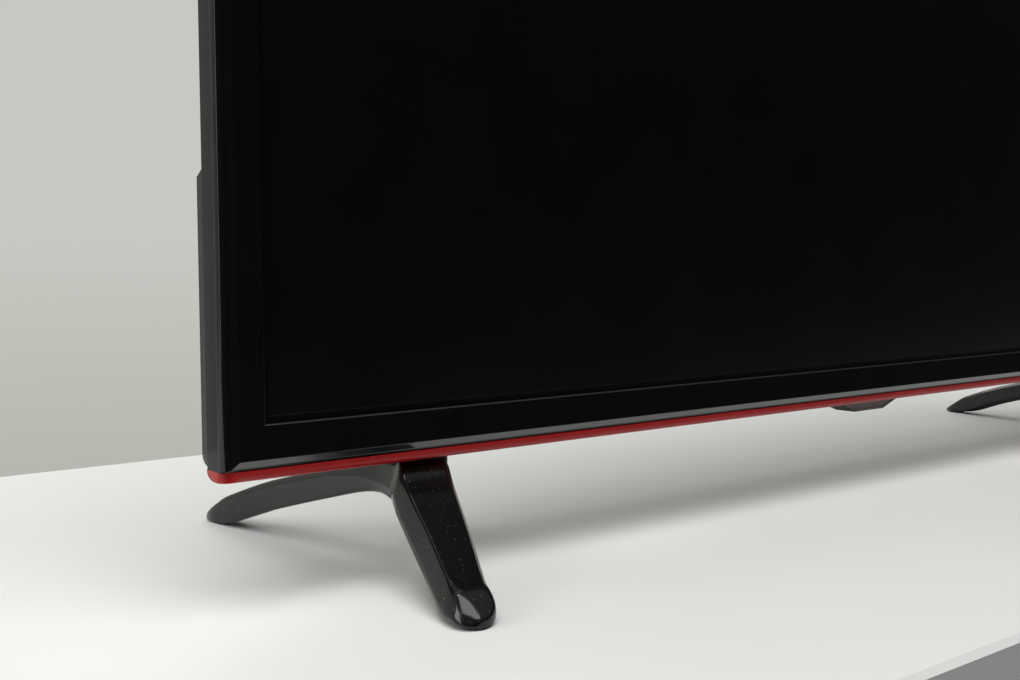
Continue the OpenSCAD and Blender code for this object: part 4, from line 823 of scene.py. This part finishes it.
# Table, as deep as the one in the photograph, in metres
TABLE_BACK = 0.274
TABLE_FRONT = -0.212
TABLE_HALF_W = 2.5
TABLE_T = 0.06
TABLE_EDGE = 0.002
table_white = surface("table_white", (0.79, 0.805, 0.785), rough=0.55, vary=0.012, rough_vary=0.05, scale=6,
                      grain=300, bump=0.01, specular=0.25)
table_section = [(TABLE_FRONT, -TABLE_T), (TABLE_FRONT, -TABLE_EDGE), (TABLE_FRONT + TABLE_EDGE, 0),
                 (TABLE_BACK, 0), (TABLE_BACK, -TABLE_T)]
table_points, table_faces = sweep([[(x, y, z) for y, z in table_section]
                                   for x in (-TABLE_HALF_W, TABLE_HALF_W)])
table_mesh = bpy.data.meshes.new("table")
table_mesh.from_pydata(table_points, [], table_faces)
table_mesh.materials.append(table_white)
table = bpy.data.objects.new("table", table_mesh)
bpy.context.scene.collection.objects.link(table)

# Room: a pale wall behind and to the left, a dim room in front and to the right
WALL = (0.58, 0.575, 0.54)
# Painted shade at the foot of the wall that the camera sees
WALL_FOOT_SHADE = (0.475, 0.475, 0.43)
WALL_FOOT_HEIGHTS = (-0.16, 0.02)
WALL_SIDE = (-0.25, 0.95, 0.18)
DIM = (0.012, 0.012, 0.012)
DUSK = (0.03, 0.03, 0.03)
CEILING = (0.34, 0.34, 0.33)
CEILING_HEIGHTS = (0.3, 0.8)
world = bpy.data.worlds.new("room")
bpy.context.scene.world = world
world.use_nodes = True
room = world.node_tree
room_coords = room.nodes.new("ShaderNodeTexCoord")
facing = room.nodes.new("ShaderNodeVectorMath")
facing.operation = "DOT_PRODUCT"
facing.inputs[1].default_value = WALL_SIDE
room.links.new(room_coords.outputs["Generated"], facing.inputs[0])
towards_wall = range_node(room, facing.outputs["Value"], -1.0, 1.0)
walls = ramp_node(room, towards_wall, [(0.0, DIM), (0.45, DUSK), (0.62, WALL), (1.0, WALL)])
height = room.nodes.new("ShaderNodeSeparateXYZ")
room.links.new(room_coords.outputs["Generated"], height.inputs["Vector"])
upward = range_node(room, height.outputs["Z"], *CEILING_HEIGHTS)
closed_room = blend_node(room, upward, walls, CEILING)

# The camera sees the wall on every side, a little darker towards the table with painted shade
light_path = room.nodes.new("ShaderNodeLightPath")
seen = blend_node(room, light_path.outputs["Is Camera Ray"], closed_room.outputs["Result"], WALL)
# Painted shade: the wall seen by the camera darkens towards the table
wall_height = range_node(room, height.outputs["Z"], *WALL_FOOT_HEIGHTS)
room.links.new(ramp_node(room, wall_height, [(0.0, WALL_FOOT_SHADE), (1.0, WALL)]), seen.inputs["B"])
room.links.new(seen.outputs["Result"], room.nodes["Background"].inputs["Color"])


def lamp(name, place, target, size, power):
    """Large soft lamp."""
    data = bpy.data.lights.new(name, "AREA")
    data.shape = "RECTANGLE"
    data.size, data.size_y = size
    data.energy = power
    light = bpy.data.objects.new(name, data)
    bpy.context.scene.collection.objects.link(light)
    light.location = place
    light.rotation_mode = "QUATERNION"
    light.rotation_quaternion = (Vector(target) - Vector(place)).to_track_quat("-Z", "Y")


lamp("ceiling", place=(-0.64, -1.04, 2.77), target=(-0.04, -0.12, 0), size=(2.84, 2.16), power=78)
lamp("left_fill", place=(-2.4, 0.3, 1.2), target=(-0.3, 0, 0), size=(1.4, 0.5), power=10)
lamp("left_strip", place=(-1.6, -0.35, 0.6), target=(-0.3, 0, 0.2), size=(0.12, 1.3), power=1.0)
lamp("rear_fill", place=(0.6, 1.6, 1.4), target=(0, 0, 0.2), size=(1.2, 1.0), power=7)

# Camera at the photograph's place, its focal length given in pixels of the photograph's width
PHOTO_W = 1020
FOCAL_PX = 1180
SENSOR_W = 36.0
YAW = 0.6728
PITCH = -0.0649
ROLL = 0.0038
EYE = in_set(-522.7224, -344.7389, 51.7111)

forward = Vector((math.sin(YAW) * math.cos(PITCH), math.cos(YAW) * math.cos(PITCH), math.sin(PITCH)))
level = Vector((math.cos(YAW), -math.sin(YAW), 0))
down = forward.cross(level)
right = math.cos(ROLL) * level + math.sin(ROLL) * down
below = -math.sin(ROLL) * level + math.cos(ROLL) * down
camera_data = bpy.data.cameras.new("camera")
camera_data.sensor_width = SENSOR_W
camera_data.lens = FOCAL_PX / PHOTO_W * SENSOR_W
camera_data.clip_start = 0.02
camera = bpy.data.objects.new("camera", camera_data)
bpy.context.scene.collection.objects.link(camera)
camera.matrix_world = Matrix.Translation(EYE) @ Matrix((right, -below, -forward)).transposed().to_4x4()
bpy.context.scene.camera = camera
bpy.context.scene.view_settings.view_transform = "Standard"
